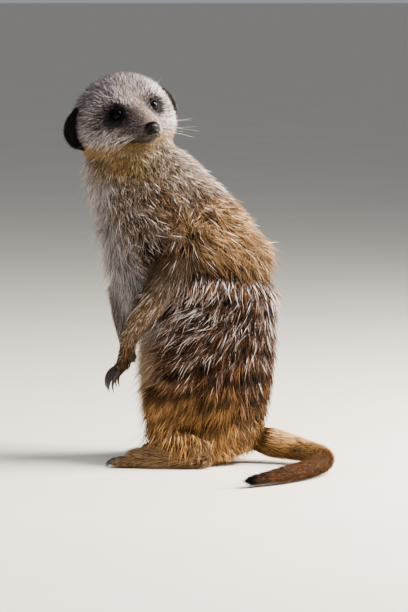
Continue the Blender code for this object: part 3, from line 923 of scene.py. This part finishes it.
def whisker_grids():
    """Whiskers of the lip pads, brows and cheeks: each curve leaves the skin and droops slightly back."""
    draw = np.random.default_rng(31)
    pad_places = [(r, c) for r in range(4) for c in range(2)]
    roots = [((35.5 - 2.6 * r, 7.6 + 1.0 * r, -9.0 - 2.2 * c), 30 - 3 * r) for r, c in pad_places]
    roots += [((15.5, 13.5, 16.0), 17), ((13.5, 16.0, 16.0), 15), ((10, 30, -9), 18)]
    grids = []
    for mirror in (1, -1):
        for root, length in roots:
            length = length * draw.uniform(0.8, 1.15)
            below_eye = root[2] < 0
            aim = np.array((0.25, 1.0, -0.12) if below_eye else (0.15, 0.75, 0.9))
            aim = aim + draw.normal(size=3) * 0.16
            t = np.linspace(0, 1, 9)[:, None]
            droop = np.array((-0.45, 0.0, -0.16)) * length * 0.5 * t**2
            curve = np.array(root) + unit(aim) * length * t + droop
            thick = 0.07 * (1 - t[:, 0]) ** 0.8 + 0.015
            grids.append(carried(from_head(curve * (1, mirror, 1)), (0, 0, 1), thick, thick, 5))
    return grids


whiskers = joined("whiskers", whisker_grids())
print("whiskers", len(whiskers.data.polygons), "faces")

# %% [markdown]
# ## The coat
# Fur is far too many hairs to model singly, so each tuft stands for a lock of them: a tapering sliver
# with three sides, which leaves the skin at a slant and bends flat towards its point. Roots are strewn
# over the skin in proportion to area and to how fine the hair is there. There are two layers, dense short
# hair and longer guard hair, and the locks of both lean together into clumps.

# %% Strew the roots


def strewn(points, triangles, density, draw):
    """Picks a triangle for each root by area times density, and a random place in it as three weights."""
    a, b, c = (points[triangles[:, k]] for k in range(3))
    area = 0.5 * np.linalg.norm(np.cross(b - a, c - a), axis=1) * density[triangles].mean(axis=1)
    total = np.cumsum(area)
    count = int(total[-1])
    level = (np.arange(count) + draw.random(count)) / count * total[-1]
    pick = np.minimum(np.searchsorted(total, level), len(triangles) - 1)
    u, v = np.sqrt(draw.random(count)), draw.random(count)
    return triangles[pick], np.stack([1 - u, u * (1 - v), u * v], 1)


def at_roots(values, corners, weights):
    """A field's value at each root: the mean of its triangle's corners, by weight."""
    values = values if values.ndim > 1 else values[:, None]
    found = sum(values[corners[:, k]] * weights[:, k : k + 1] for k in range(3))
    return found if found.shape[1] > 1 else found[:, 0]


def by_part(**amounts):
    """A number for each point of the skin, mixed from one number for each part of the body."""
    return sum(parts[name] * amount for name, amount in amounts.items())


folded_head = mirror_side(head_points)
on_head = parts["head"] > 0.5
eye_gap = np.linalg.norm(folded_head - EYE, axis=1)
nose_gap = np.linalg.norm((head_points - NOSE) / (1.0, 1.0, 0.9), axis=1)
muzzle = parts["head"] * step(14, 32, head_points[:, 0])
bald = on_head & ((eye_gap < 6.0) | (nose_gap < 5.9))
shaggy = parts["torso"] + parts["leg"] + parts["arm"] * step(1.8, 4.0, skin_coat)
back_of_trunk = step(-0.7, -0.2, noted(skin_mesh, "turn")[:, 1])
neck = parts["torso"] * step(168, 212, skin_points[:, 2])
breast = parts["torso"] * (1 - back_of_trunk)
mane = parts["torso"] * step(140, 152, skin_points[:, 2]) * back_of_trunk
fine_hair = 1 - 0.40 * np.maximum(neck, breast)
hair_length = 1 - 0.34 * neck * (1 - breast) + 0.22 * breast
ruff = step(-6, -22, head_points[:, 2]) * step(14, -6, head_points[:, 0])
low_leg = parts["leg"] * step(42, 24, skin_points[:, 2])
head_length = 6.6 * (1 - 0.5 * bell(eye_gap, 9)) * (1 - 0.64 * muzzle) + 4.5 * ruff
body_coat = skin_coat * hair_length
LAYERS = {
    "guard": {
        "rings": 2,
        "density": 0.56 * shaggy * (1 - 0.45 * neck) + 0.5 * parts["head"] * (1 - muzzle),
        "clump": (0.42 + 0.25 * mane) * shaggy * (1 - 0.7 * neck),
        "length": body_coat * (1 + 1.3 * low_leg)
        * by_part(torso=2.3, head=4.0, arm=2.6, leg=2.2, foot=3, tail=2.5, finger=3),
        "width": fine_hair
        * by_part(torso=0.54, head=0.34, arm=0.42, leg=0.54, foot=0.5, tail=0.5, finger=0.4),
    },
    "short": {
        "rings": 1,
        "density": by_part(torso=1.12, head=3.7, arm=2.0, leg=1.5, foot=2.4, tail=2.1, finger=2.8)
        * (1 + 2.1 * neck),
        "clump": by_part(torso=0.35, head=0.25, arm=0.3, leg=0.35, foot=0.2, tail=0.12, finger=0.05)
        * (1 - 0.5 * neck),
        "length": body_coat * by_part(torso=1.6, head=0, arm=2.4, leg=1.7, foot=6.2, tail=2.8, finger=6.0)
        + head_length * parts["head"],
        "width": fine_hair * (1 - 0.3 * muzzle)
        * by_part(torso=0.48, head=0.42, arm=0.40, leg=0.48, foot=0.42, tail=0.44, finger=0.36),
    },
}
for layer in LAYERS.values():
    layer["density"] = np.where(bald, 0, layer["density"] * (1 + 0.7 * muzzle))
print("layers of hair", list(LAYERS))

# %% Shape the tufts
MOST_TRIANGLES = 190000
# In millimetres: how far under the skin a tuft starts, and how near the floor its lowest point may come.
ROOT_DEPTH, LOWEST = 0.4, 0.15
# The side of a tuft's own patch on the unwrap, whose side is 1.
PATCH_SIDE = 0.003


def clump_pull(points, size, seed):
    """From each point to the middle of its clump. Space is cut into wavy cells, and each cell's middle
    is set off at random, by the fraction of a large sine of its number."""
    wavy = points / size + 0.35 * np.stack([ripple(points, size * 3, seed + k) for k in range(3)], 1)
    cell = np.floor(wavy)
    stir = np.array([[127.1, 269.5, 113.5], [311.7, 183.3, 271.9], [74.7, 246.1, 124.6]])
    mixed = np.sin(cell @ stir) * 43758.5453
    return (cell + 0.25 + 0.5 * (mixed - np.floor(mixed)) - wavy) * size


# Each part's tile on the unwrap: left, bottom, width and height.
TILES = np.array([
    (0.02, 0.02, 0.44, 0.96), (0.48, 0.52, 0.50, 0.46), (0.48, 0.02, 0.11, 0.46), (0.60, 0.02, 0.12, 0.46),
    (0.73, 0.02, 0.09, 0.46), (0.83, 0.02, 0.08, 0.46), (0.92, 0.02, 0.06, 0.46),
])


def unwrap_place(turn, part_number):
    """Where a point of the body lies on the unwrap: a tile for each part, across by the turn round the
    part's own path and up by the way along it."""
    tile = TILES[part_number]
    around = np.arctan2(turn[:, 1], turn[:, 0]) / (2 * math.pi) + 0.5
    return tile[:, :2] + tile[:, 2:] * np.stack([around, np.clip(turn[:, 2], 0, 1)], 1)


def tuft_arrays(root, draw, rings):
    """Points, triangles, patch coordinates and strand notes of many tufts. A tuft starts at slant d0
    and ends at d1, so its line is root + length * (t * d0 + t * t / 2 * (d1 - d0)), pulled towards
    its clump by t squared. It has one or two rings of three points and a tip, which is 4 or 10
    triangles."""
    count = len(root["point"])
    normal, lie, long = root["normal"], root["lie"], root["length"][:, None]
    lift = root["lift"][:, None] * draw.normal(1, 0.16, (count, 1))
    sway = along_skin(draw.normal(size=(count, 3)), normal) * root["stray"][:, None]
    lean = unit(lie + sway)
    start = np.cos(lift) * lean + np.sin(lift) * normal
    end = np.cos(lift * 0.45) * lean + np.sin(lift * 0.45) * normal
    t = np.arange(rings + 1)[None, :, None] / rings
    pull = along_skin(root["pull"], normal) * np.linalg.norm(root["pull"], axis=1, keepdims=True)
    bent = t * start[:, None] + t**2 / 2 * (end - start)[:, None]
    line = root["point"][:, None] - normal[:, None] * ROOT_DEPTH + long[:, None] * bent
    line = line + pull[:, None] * t**2 * root["clump"][:, None, None]
    direction = unit(line[:, -1] - line[:, 0])
    across = unit(np.cross(direction, normal))
    up = np.cross(across, direction)
    roll = draw.normal(0, 0.5, (count, 1))
    across, up = across * np.cos(roll) + up * np.sin(roll), up * np.cos(roll) - across * np.sin(roll)
    half = root["width"][:, None, None] * np.array((0.42, 0.5) if rings == 2 else (0.5,))[None, :, None]
    loops = line[:, :-1, None] + sum(
        half[..., None] * (np.array(c)[None, None, :, None] * v[:, None, None])
        for c, v in (((0, 1, -1), across), ((0.55, -0.25, -0.25), up))
    )
    points = np.concatenate([loops.reshape(count, -1, 3), line[:, -1:]], axis=1)
    points[..., 2] = np.maximum(points[..., 2], LOWEST)
    per = 3 * rings + 1
    base = [(0, 1, 2)]
    pairs = ((1, 0), (2, 1), (0, 2))
    turns = [(3 * r + a, 3 * r + b) for r in range(rings - 1) for a, b in pairs]
    sides = [(a, b, b + 3) for a, b in turns] + [(a, b + 3, a + 3) for a, b in turns]
    top = 3 * (rings - 1)
    tips = [(top + a, top + b, per - 1) for a, b in pairs]
    faces = (np.array(base + sides + tips)[None] + np.arange(count)[:, None, None] * per).reshape(-1, 3)
    along = np.append(np.repeat(np.arange(rings) / rings, 3), 1.0)
    across_patch = np.append(np.tile((0.0, 0.5, 1.0), rings), 0.5)
    patch = root["place"][:, None] + PATCH_SIDE * (np.stack([across_patch, along], 1) - 0.5)[None]
    chances = draw.random((count, 1)), draw.random((count, 1))
    strand = np.stack(np.broadcast_arrays(along[None], *chances), -1)
    return points.reshape(-1, 3), faces, patch.reshape(-1, 2), strand.reshape(-1, 3), per


def store_marks(mesh, marks, repeat=1):
    """The twelve masks as four vector notes."""
    for k, name in enumerate(("marks_a", "marks_b", "marks_c", "marks_d")):
        note(mesh, name, np.repeat(marks[:, 3 * k : 3 * k + 3], repeat, axis=0))


def tuft_object(name, root, draw, rings):
    """One coat piece: a mesh filled from arrays, with its masks, strand notes and patch map."""
    points, faces, patch, strand, per = tuft_arrays(root, draw, rings)
    mesh = bpy.data.meshes.new(name)
    mesh.vertices.add(len(points))
    mesh.vertices.foreach_set("co", in_frame(points).astype(np.float32).ravel())
    mesh.loops.add(faces.size)
    mesh.loops.foreach_set("vertex_index", faces.ravel().astype(np.int32))
    mesh.polygons.add(len(faces))
    mesh.polygons.foreach_set("loop_start", (np.arange(len(faces)) * 3).astype(np.int32))
    mesh.update(calc_edges=True)
    mesh.shade_smooth()
    patch_map = mesh.uv_layers.new(name="OFBake")
    patch_map.data.foreach_set("uv", patch[faces.ravel()].astype(np.float32).ravel())
    store_marks(mesh, root["marks"], per)
    note(mesh, "strand", strand)
    made = bpy.data.objects.new(name, mesh)
    bpy.context.scene.collection.objects.link(made)
    return made


def rooted(points, triangles, fields, density, seed):
    """Roots on a surface with every field read there."""
    draw = np.random.default_rng(seed)
    corners, weights = strewn(points, triangles, density, draw)
    root = {name: at_roots(values, corners, weights) for name, values in fields.items()}
    root["point"] = at_roots(points, corners, weights)
    root["normal"] = unit(root["normal"])
    root["lie"] = along_skin(root["lie"], root["normal"])
    return root, draw


lift_degrees = by_part(torso=25, head=36, arm=24, leg=24, foot=31, tail=15, finger=18)
lift_degrees = lift_degrees + 14 * breast + 9 * neck
stray = by_part(torso=0.38, head=0.36, arm=0.24, leg=0.24, foot=0.2, tail=0.14, finger=0.15)
stray = stray + 0.2 * neck
shared = {
    "normal": skin_normals.astype(float), "lie": skin_lie, "turn": skin_turn,
    "lift": np.radians(lift_degrees),
    "stray": stray,
    **{name: parts[name] for name in PART_NAMES},
}


def grown(layer, seed):
    """All roots of one layer of hair, with their length, width, masks, patch place and clump."""
    rooted_fields = {**shared, **{key: layer[key] for key in ("length", "width", "clump")}}
    root, draw = rooted(skin_points, skin_triangles, rooted_fields, layer["density"], seed)
    count = len(root["point"])
    root["length"] = root["length"] * np.clip(draw.normal(0.95, 0.18, count), 0.5, 1.35)
    root["width"] = root["width"] * draw.uniform(0.65, 1.3, count)
    root["part"] = np.argmax(np.stack([root[name] for name in PART_NAMES], 1), axis=1)
    root["marks"] = markings(root["point"], root["turn"], root)
    root["place"] = unwrap_place(root["turn"], root["part"])
    on_trunk = root["part"][:, None] == PART_NAMES.index("torso")
    coarse, fine = clump_pull(root["point"], 6.0, 9), clump_pull(root["point"], 3.2, 5)
    root["pull"] = np.where(on_trunk, coarse, fine)
    return root, draw


# %% Build the coat pieces
coats = []
for seed, (layer_name, layer) in enumerate(LAYERS.items(), 11):
    roots, coat_draw = grown(layer, seed)
    # A tuft of one ring has 4 triangles, and one of two rings has 10.
    most = MOST_TRIANGLES // (6 * layer["rings"] - 2)
    for number, name in enumerate(PART_NAMES):
        chosen = np.flatnonzero(roots["part"] == number)
        chosen = chosen[np.argsort(roots["point"][chosen, 2], kind="stable")]
        pieces = np.array_split(chosen, math.ceil(len(chosen) / most)) if len(chosen) else []
        print(layer_name, name, len(chosen), "tufts")
        for k, some in enumerate(pieces, 1):
            piece = {key: values[some] for key, values in roots.items()}
            coats.append(tuft_object(f"fur_{layer_name}_{name}_{k}", piece, coat_draw, layer["rings"]))
print("coat pieces", len(coats))

# %% Short fur on the ears


def ear_fur(side):
    """Short black hair over an ear, lying outwards from the ear's root."""
    points, normals, _, triangles = mesh_arrays(ears[side].data)
    sign = 1 if side == "left" else -1
    outwards = np.array((-0.2, 0.98 * sign, -0.4)) @ HEAD_TURN.T
    size = len(points)
    marks = np.zeros((size, len(MARKS)))
    marks[:, MARKS.index("dark")] = 1
    turn = np.tile((0.0, float(sign), 0.5), (size, 1))
    ear_fields = {
        "normal": normals.astype(float), "lie": along_skin(np.tile(outwards, (size, 1)), normals),
        "turn": turn, "marks": marks, "length": np.full(size, 3.6), "width": np.full(size, 0.32),
        "lift": np.full(size, 0.55), "stray": np.full(size, 0.3), "clump": np.zeros(size),
    }
    root, draw = rooted(points, triangles, ear_fields, np.full(size, 5.5), 17)
    on_tile = np.full(len(root["point"]), PART_NAMES.index("head"))
    root["place"] = unwrap_place(root["turn"], on_tile)
    root["pull"] = np.zeros((len(root["point"]), 3))
    root["length"] = root["length"] * draw.uniform(0.6, 1.2, len(root["point"]))
    return tuft_object(f"fur_ear_{side}", root, draw, 1)


coats += [ear_fur("left"), ear_fur("right")]
print("coat triangles", sum(len(c.data.polygons) for c in coats))

# %% [markdown]
# ## Materials
# Meerkat hair is banded, dark near the skin and pale towards the tip, and each hair is a little
# different. The coat's material mixes a root colour and a tip colour for each marking, and moves from one
# to the other along the tuft. The skin uses the same mix of root colours, so any gap between tufts looks
# like the shade under fur.

# %% Colours and a node helper


def shade(text):
    """An sRGB hex colour as linear values: v / 12.92 up to 0.04045, else ((v + 0.055) / 1.055) ** 2.4."""
    values = [int(text[k : k + 2], 16) / 255 for k in (1, 3, 5)]
    linear = [v / 12.92 if v <= 0.04045 else ((v + 0.055) / 1.055) ** 2.4 for v in values]
    return (*linear, 1)


def add(tree, kind, inputs=(), **settings):
    """A node of a kind, with settings, and inputs set to a value or linked to another node's output."""
    made = tree.nodes.new(kind)
    for name, value in settings.items():
        setattr(made, name, value)
    for name, value in dict(inputs).items():
        if isinstance(value, bpy.types.NodeSocket):
            tree.links.new(value, made.inputs[name])
        else:
            made.inputs[name].default_value = value
    return made


def new_material(name, **sockets):
    """A material whose surface is one Principled shader with these values on its own sockets."""
    made = bpy.data.materials.new(name)
    made.use_nodes = True
    surface = made.node_tree.nodes["Principled BSDF"]
    for socket, value in sockets.items():
        surface.inputs[socket.replace("_", " ")].default_value = value
    return made, made.node_tree, surface


def blended(tree, factor, a, b):
    """The colour output of a mix of two colours."""
    return add(tree, "ShaderNodeMix", {0: factor, 6: a, 7: b}, data_type="RGBA").outputs[2]


def arithmetic(tree, operation, *terms):
    """The output of one arithmetic node, such as ADD, MULTIPLY or MULTIPLY_ADD, on its terms in order."""
    return add(tree, "ShaderNodeMath", dict(enumerate(terms)), operation=operation).outputs[0]


def ramped(tree, value, low, high):
    """A value taken from the range low to high to the range 0 to 1, with soft ends."""
    inputs = {"Value": value, "From Min": low, "From Max": high}
    return add(tree, "ShaderNodeMapRange", inputs, interpolation_type="SMOOTHSTEP").outputs[0]


print("mid grey as linear values", [round(v, 3) for v in shade("#808080")])

# %% Coat material
# Root and tip colours of the plain flank, then of each marking. Later markings lie over earlier ones.
FLANK = ("#2a170c", "#8c6546")
# The colours of the dark bars also paint the shade in the flank's crease, and the sable colours paint the
# shade above the mouth.
COAT = {
    "crown": ("#2a201c", "#aa9d9d"), "rufous": ("#27160b", "#a07c50"), "grizzle": ("#140c07", "#9d8977"),
    "pale": ("#625a55", "#c9c2c1"), "golden": ("#4a311c", "#cba06c"), "ochre": ("#5e4a2a", "#b0966a"),
    "sable": ("#1d130c", "#5f4a35"), "russet": ("#452a1b", "#956a4b"), "bridge": ("#64534b", "#c0b0a7"),
    "bar_and_crease_shade": ("#130a06", "#3a2518"), "dark": ("#0d0908", "#1f1714"),
}
WHITE_TIP = "#fbf0ed"


def coat_material(name, roughness):
    """Root and tip colours mixed by the masks in the order of COAT, then from root to tip of a strand."""
    made, tree, surface = new_material(name, Roughness=roughness, Specular_IOR_Level=0.22, IOR=1.55)
    masks = {}
    for k, key in enumerate(("marks_a", "marks_b", "marks_c", "marks_d")):
        vector = add(tree, "ShaderNodeAttribute", attribute_name=key).outputs["Vector"]
        split = add(tree, "ShaderNodeSeparateXYZ", {0: vector})
        masks.update({MARKS[3 * k + j]: split.outputs[j] for j in range(3)})
    vector = add(tree, "ShaderNodeAttribute", attribute_name="strand").outputs["Vector"]
    strand = add(tree, "ShaderNodeSeparateXYZ", {0: vector})
    along, chance, other = strand.outputs
    under, tip = shade(FLANK[0]), shade(FLANK[1])
    for key, (low, high) in COAT.items():
        under = blended(tree, masks[key], under, shade(low))
        tip = blended(tree, masks[key], tip, shade(high))
    # White tips: the stronger the frost, the more locks are drawn to have one. The dark bars and the
    # painted crease shade spare theirs.
    spared = arithmetic(tree, "MULTIPLY", masks["bar_and_crease_shade"], -0.40)
    share = arithmetic(tree, "MULTIPLY_ADD", masks["frost"], 0.40, spared)
    drawn = arithmetic(tree, "ADD", other, share)
    tip = blended(tree, ramped(tree, drawn, 0.98, 1.04), tip, shade(WHITE_TIP))
    # About a third of the locks stay dark almost to the tip, which peppers the coat.
    pepper = arithmetic(tree, "MULTIPLY", ramped(tree, other, 0.38, 0.28), 0.72)
    tip = blended(tree, pepper, tip, under)
    # Each lock turns from its root colour to its tip colour at a place of its own.
    offset = arithmetic(tree, "MULTIPLY", chance, 0.38)
    shifted = arithmetic(tree, "ADD", along, offset)
    colour = blended(tree, ramped(tree, shifted, 0.30, 0.95), under, tip)
    # Each lock is a little brighter or darker than the next, and so is each patch of the coat.
    place = add(tree, "ShaderNodeTexCoord").outputs["Object"]
    patchy = add(tree, "ShaderNodeTexNoise", {"Vector": place, "Scale": 90.0, "Detail": 2.0}).outputs["Fac"]
    mixed = arithmetic(tree, "ADD", chance, patchy)
    limits = {"Value": mixed, "From Min": 0.3, "From Max": 1.6, "To Min": 0.66, "To Max": 1.30}
    bright = add(tree, "ShaderNodeMapRange", limits)
    toned = add(tree, "ShaderNodeHueSaturation", {"Color": colour, "Value": bright.outputs[0]})
    tree.links.new(toned.outputs[0], surface.inputs["Base Color"])
    return made, tree, surface


# Hair of the coat: half matt, with a weak gloss.
fur, _, _ = coat_material("banded_guard_hair", 0.5)
# The skin between the locks: matt underfur, raised by a fine grain.
skin_material, skin_tree, skin_surface = coat_material("short_underfur_over_skin", 0.75)
place = add(skin_tree, "ShaderNodeTexCoord").outputs["Object"]
underfur = add(skin_tree, "ShaderNodeTexNoise", {"Vector": place, "Scale": 1100.0, "Detail": 3.0})
grain = underfur.outputs["Fac"]
raised = add(skin_tree, "ShaderNodeBump", {"Height": grain, "Strength": 0.6, "Distance": 0.0006})
skin_tree.links.new(raised.outputs[0], skin_surface.inputs["Normal"])
store_marks(skin_mesh, skin_marks)
# The skin counts as a short way up a strand, so it stays near its root colours.
note(skin_mesh, "strand", np.tile((0.22, 0.4, 0.0), (len(skin_points), 1)))
print("coat materials", fur.name, skin_material.name)

# %% Eye, nose, lid, ear, claw and whisker materials
# The eyeball: a wet cornea, very smooth, over a nearly black iris and a black pupil.
eye_material, tree, surface = new_material(
    "wet_dark_eye", Roughness=0.03, IOR=1.376, Specular_IOR_Level=0.24
)
# What it mirrors is tinted a little towards the blue of a clear sky.
surface.inputs["Specular Tint"].default_value = (0.62, 0.80, 1.0, 1)
polar = add(tree, "ShaderNodeAttribute", attribute_name="polar").outputs["Fac"]
place = add(tree, "ShaderNodeTexCoord").outputs["Object"]
fibre = add(tree, "ShaderNodeTexNoise", {"Vector": place, "Scale": 900.0, "Detail": 4.0}).outputs["Fac"]
iris = blended(tree, fibre, shade("#060303"), shade("#150b06"))
in_pupil = ramped(tree, polar, 0.46, 0.40)
past_iris = ramped(tree, polar, 0.70, 0.78)
colour = blended(tree, in_pupil, blended(tree, past_iris, iris, shade("#070404")), shade("#020202"))
tree.links.new(colour, surface.inputs["Base Color"])

# The nose: moist black leather with fine cells.
nose_material, tree, surface = new_material(
    "moist_nose_leather", Roughness=0.3, IOR=1.4, Specular_IOR_Level=0.28
)
place = add(tree, "ShaderNodeTexCoord").outputs["Object"]
cells = add(tree, "ShaderNodeTexVoronoi", {"Vector": place, "Scale": 1700.0}).outputs["Distance"]
tone = blended(tree, cells, shade("#070505"), shade("#171110"))
tree.links.new(tone, surface.inputs["Base Color"])
raised = add(tree, "ShaderNodeBump", {"Height": cells, "Strength": 0.5, "Distance": 0.0003})
tree.links.new(raised.outputs[0], surface.inputs["Normal"])

# The eyelid's edge: bare black skin, nearly matt.
lid_material, tree, surface = new_material(
    "bare_black_eyelid", Roughness=0.65, IOR=1.45, Specular_IOR_Level=0.15
)
place = add(tree, "ShaderNodeTexCoord").outputs["Object"]
grain = add(tree, "ShaderNodeTexNoise", {"Vector": place, "Scale": 1500.0, "Detail": 3.0}).outputs["Fac"]
tree.links.new(blended(tree, grain, shade("#070505"), shade("#14100e")), surface.inputs["Base Color"])
raised = add(tree, "ShaderNodeBump", {"Height": grain, "Strength": 0.4, "Distance": 0.0003})
tree.links.new(raised.outputs[0], surface.inputs["Normal"])

# The ear: thin black-brown skin under its short hair.
ear_material, tree, surface = new_material("black_ear_skin", Roughness=0.7, IOR=1.45)
place = add(tree, "ShaderNodeTexCoord").outputs["Object"]
grain = add(tree, "ShaderNodeTexNoise", {"Vector": place, "Scale": 500.0, "Detail": 4.0}).outputs["Fac"]
tree.links.new(blended(tree, grain, shade("#090706"), shade("#1a1311")), surface.inputs["Base Color"])
raised = add(tree, "ShaderNodeBump", {"Height": grain, "Strength": 0.5, "Distance": 0.0005})
tree.links.new(raised.outputs[0], surface.inputs["Normal"])

# The claws: dark horn, smooth, a little paler towards the point and streaked.
claw_material, tree, surface = new_material("dark_claw_horn", Roughness=0.32, IOR=1.54)
along = add(tree, "ShaderNodeAttribute", attribute_name="along").outputs["Fac"]
place = add(tree, "ShaderNodeTexCoord").outputs["Object"]
streak = add(tree, "ShaderNodeTexNoise", {"Vector": place, "Scale": 700.0, "Detail": 4.0}).outputs["Fac"]
horn = blended(tree, ramped(tree, along, 0.45, 1.0), shade("#2a2422"), shade("#7a6a5c"))
streaked = blended(tree, ramped(tree, streak, 0.45, 0.75), horn, shade("#4a4039"))
tree.links.new(streaked, surface.inputs["Base Color"])
raised = add(tree, "ShaderNodeBump", {"Height": streak, "Strength": 0.25, "Distance": 0.0003})
tree.links.new(raised.outputs[0], surface.inputs["Normal"])

# The whiskers: stiff smooth hair, pale grey.
whisker_material, tree, surface = new_material("stiff_whisker", Roughness=0.35, IOR=1.55)
place = add(tree, "ShaderNodeTexCoord").outputs["Object"]
tint = add(tree, "ShaderNodeTexNoise", {"Vector": place, "Scale": 60.0}).outputs["Fac"]
tree.links.new(blended(tree, tint, shade("#8d857c"), shade("#d9d2c9")), surface.inputs["Base Color"])

# The floor: matt warm white, with a faint mottle.
floor_material, tree, surface = new_material("matt_studio_floor", Roughness=0.85)
place = add(tree, "ShaderNodeTexCoord").outputs["Object"]
mottle = add(tree, "ShaderNodeTexNoise", {"Vector": place, "Scale": 6.0, "Detail": 4.0}).outputs["Fac"]
tree.links.new(blended(tree, mottle, shade("#cfc8bd"), shade("#d8d2c8")), surface.inputs["Base Color"])
print("materials", len(bpy.data.materials))

# %% [markdown]
# ## Floor, dressing and attachment
# Every piece gets its material, rides on the one rigid body and stands for its solids in the frame. The
# floor is not attached to the animal.

# %% Floor
HALF_FLOOR_MM = 2.5e6
floor_corners = np.array([(-1, -1, 0), (1, -1, 0), (1, 1, 0), (-1, 1, 0)]) * HALF_FLOOR_MM
floor = new_object("floor", floor_corners, [(0, 1, 2, 3)])
floor.data.materials.append(floor_material)
bpy.data.objects.remove(flesh)

# %% Dress and attach
skin = bpy.data.objects.new("skin", skin_mesh)
bpy.context.scene.collection.objects.link(skin)
skin_mesh.shade_smooth()
skin_mesh.materials.clear()
skin_mesh.materials.append(skin_material)
FLESH = [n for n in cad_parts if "claw" not in n and not n.startswith(("eye", "ear", "nose"))]
plan = [(skin, None, "agouti_coat", FLESH)]
plan += [(coat, fur, "black_coat" if "ear" in coat.name else "agouti_coat", []) for coat in coats]
for side in ("left", "right"):
    plan.append((eyes[side], eye_material, "eye", [f"eye_{side}"]))
    plan.append((lids[side], lid_material, "black_coat", []))
    plan.append((ears[side], ear_material, "black_coat", [f"ear_{side}"]))
    for limb in ("fore", "hind"):
        stood_for = [f"{limb}_claw_{side}_{k}" for k in (1, 2, 3, 4)]
        plan.append((claws[limb, side], claw_material, "claw_horn", stood_for))
plan.append((nose, nose_material, "nose_leather", ["nose"]))
plan.append((whiskers, whisker_material, "pale_coat", []))
for piece, finish, slot_name, stood_for in plan:
    if finish is not None:
        piece.data.materials.append(finish)
    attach(piece, "root")
    if stood_for:
        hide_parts(*stood_for)
print(len(plan), "pieces ride on root")
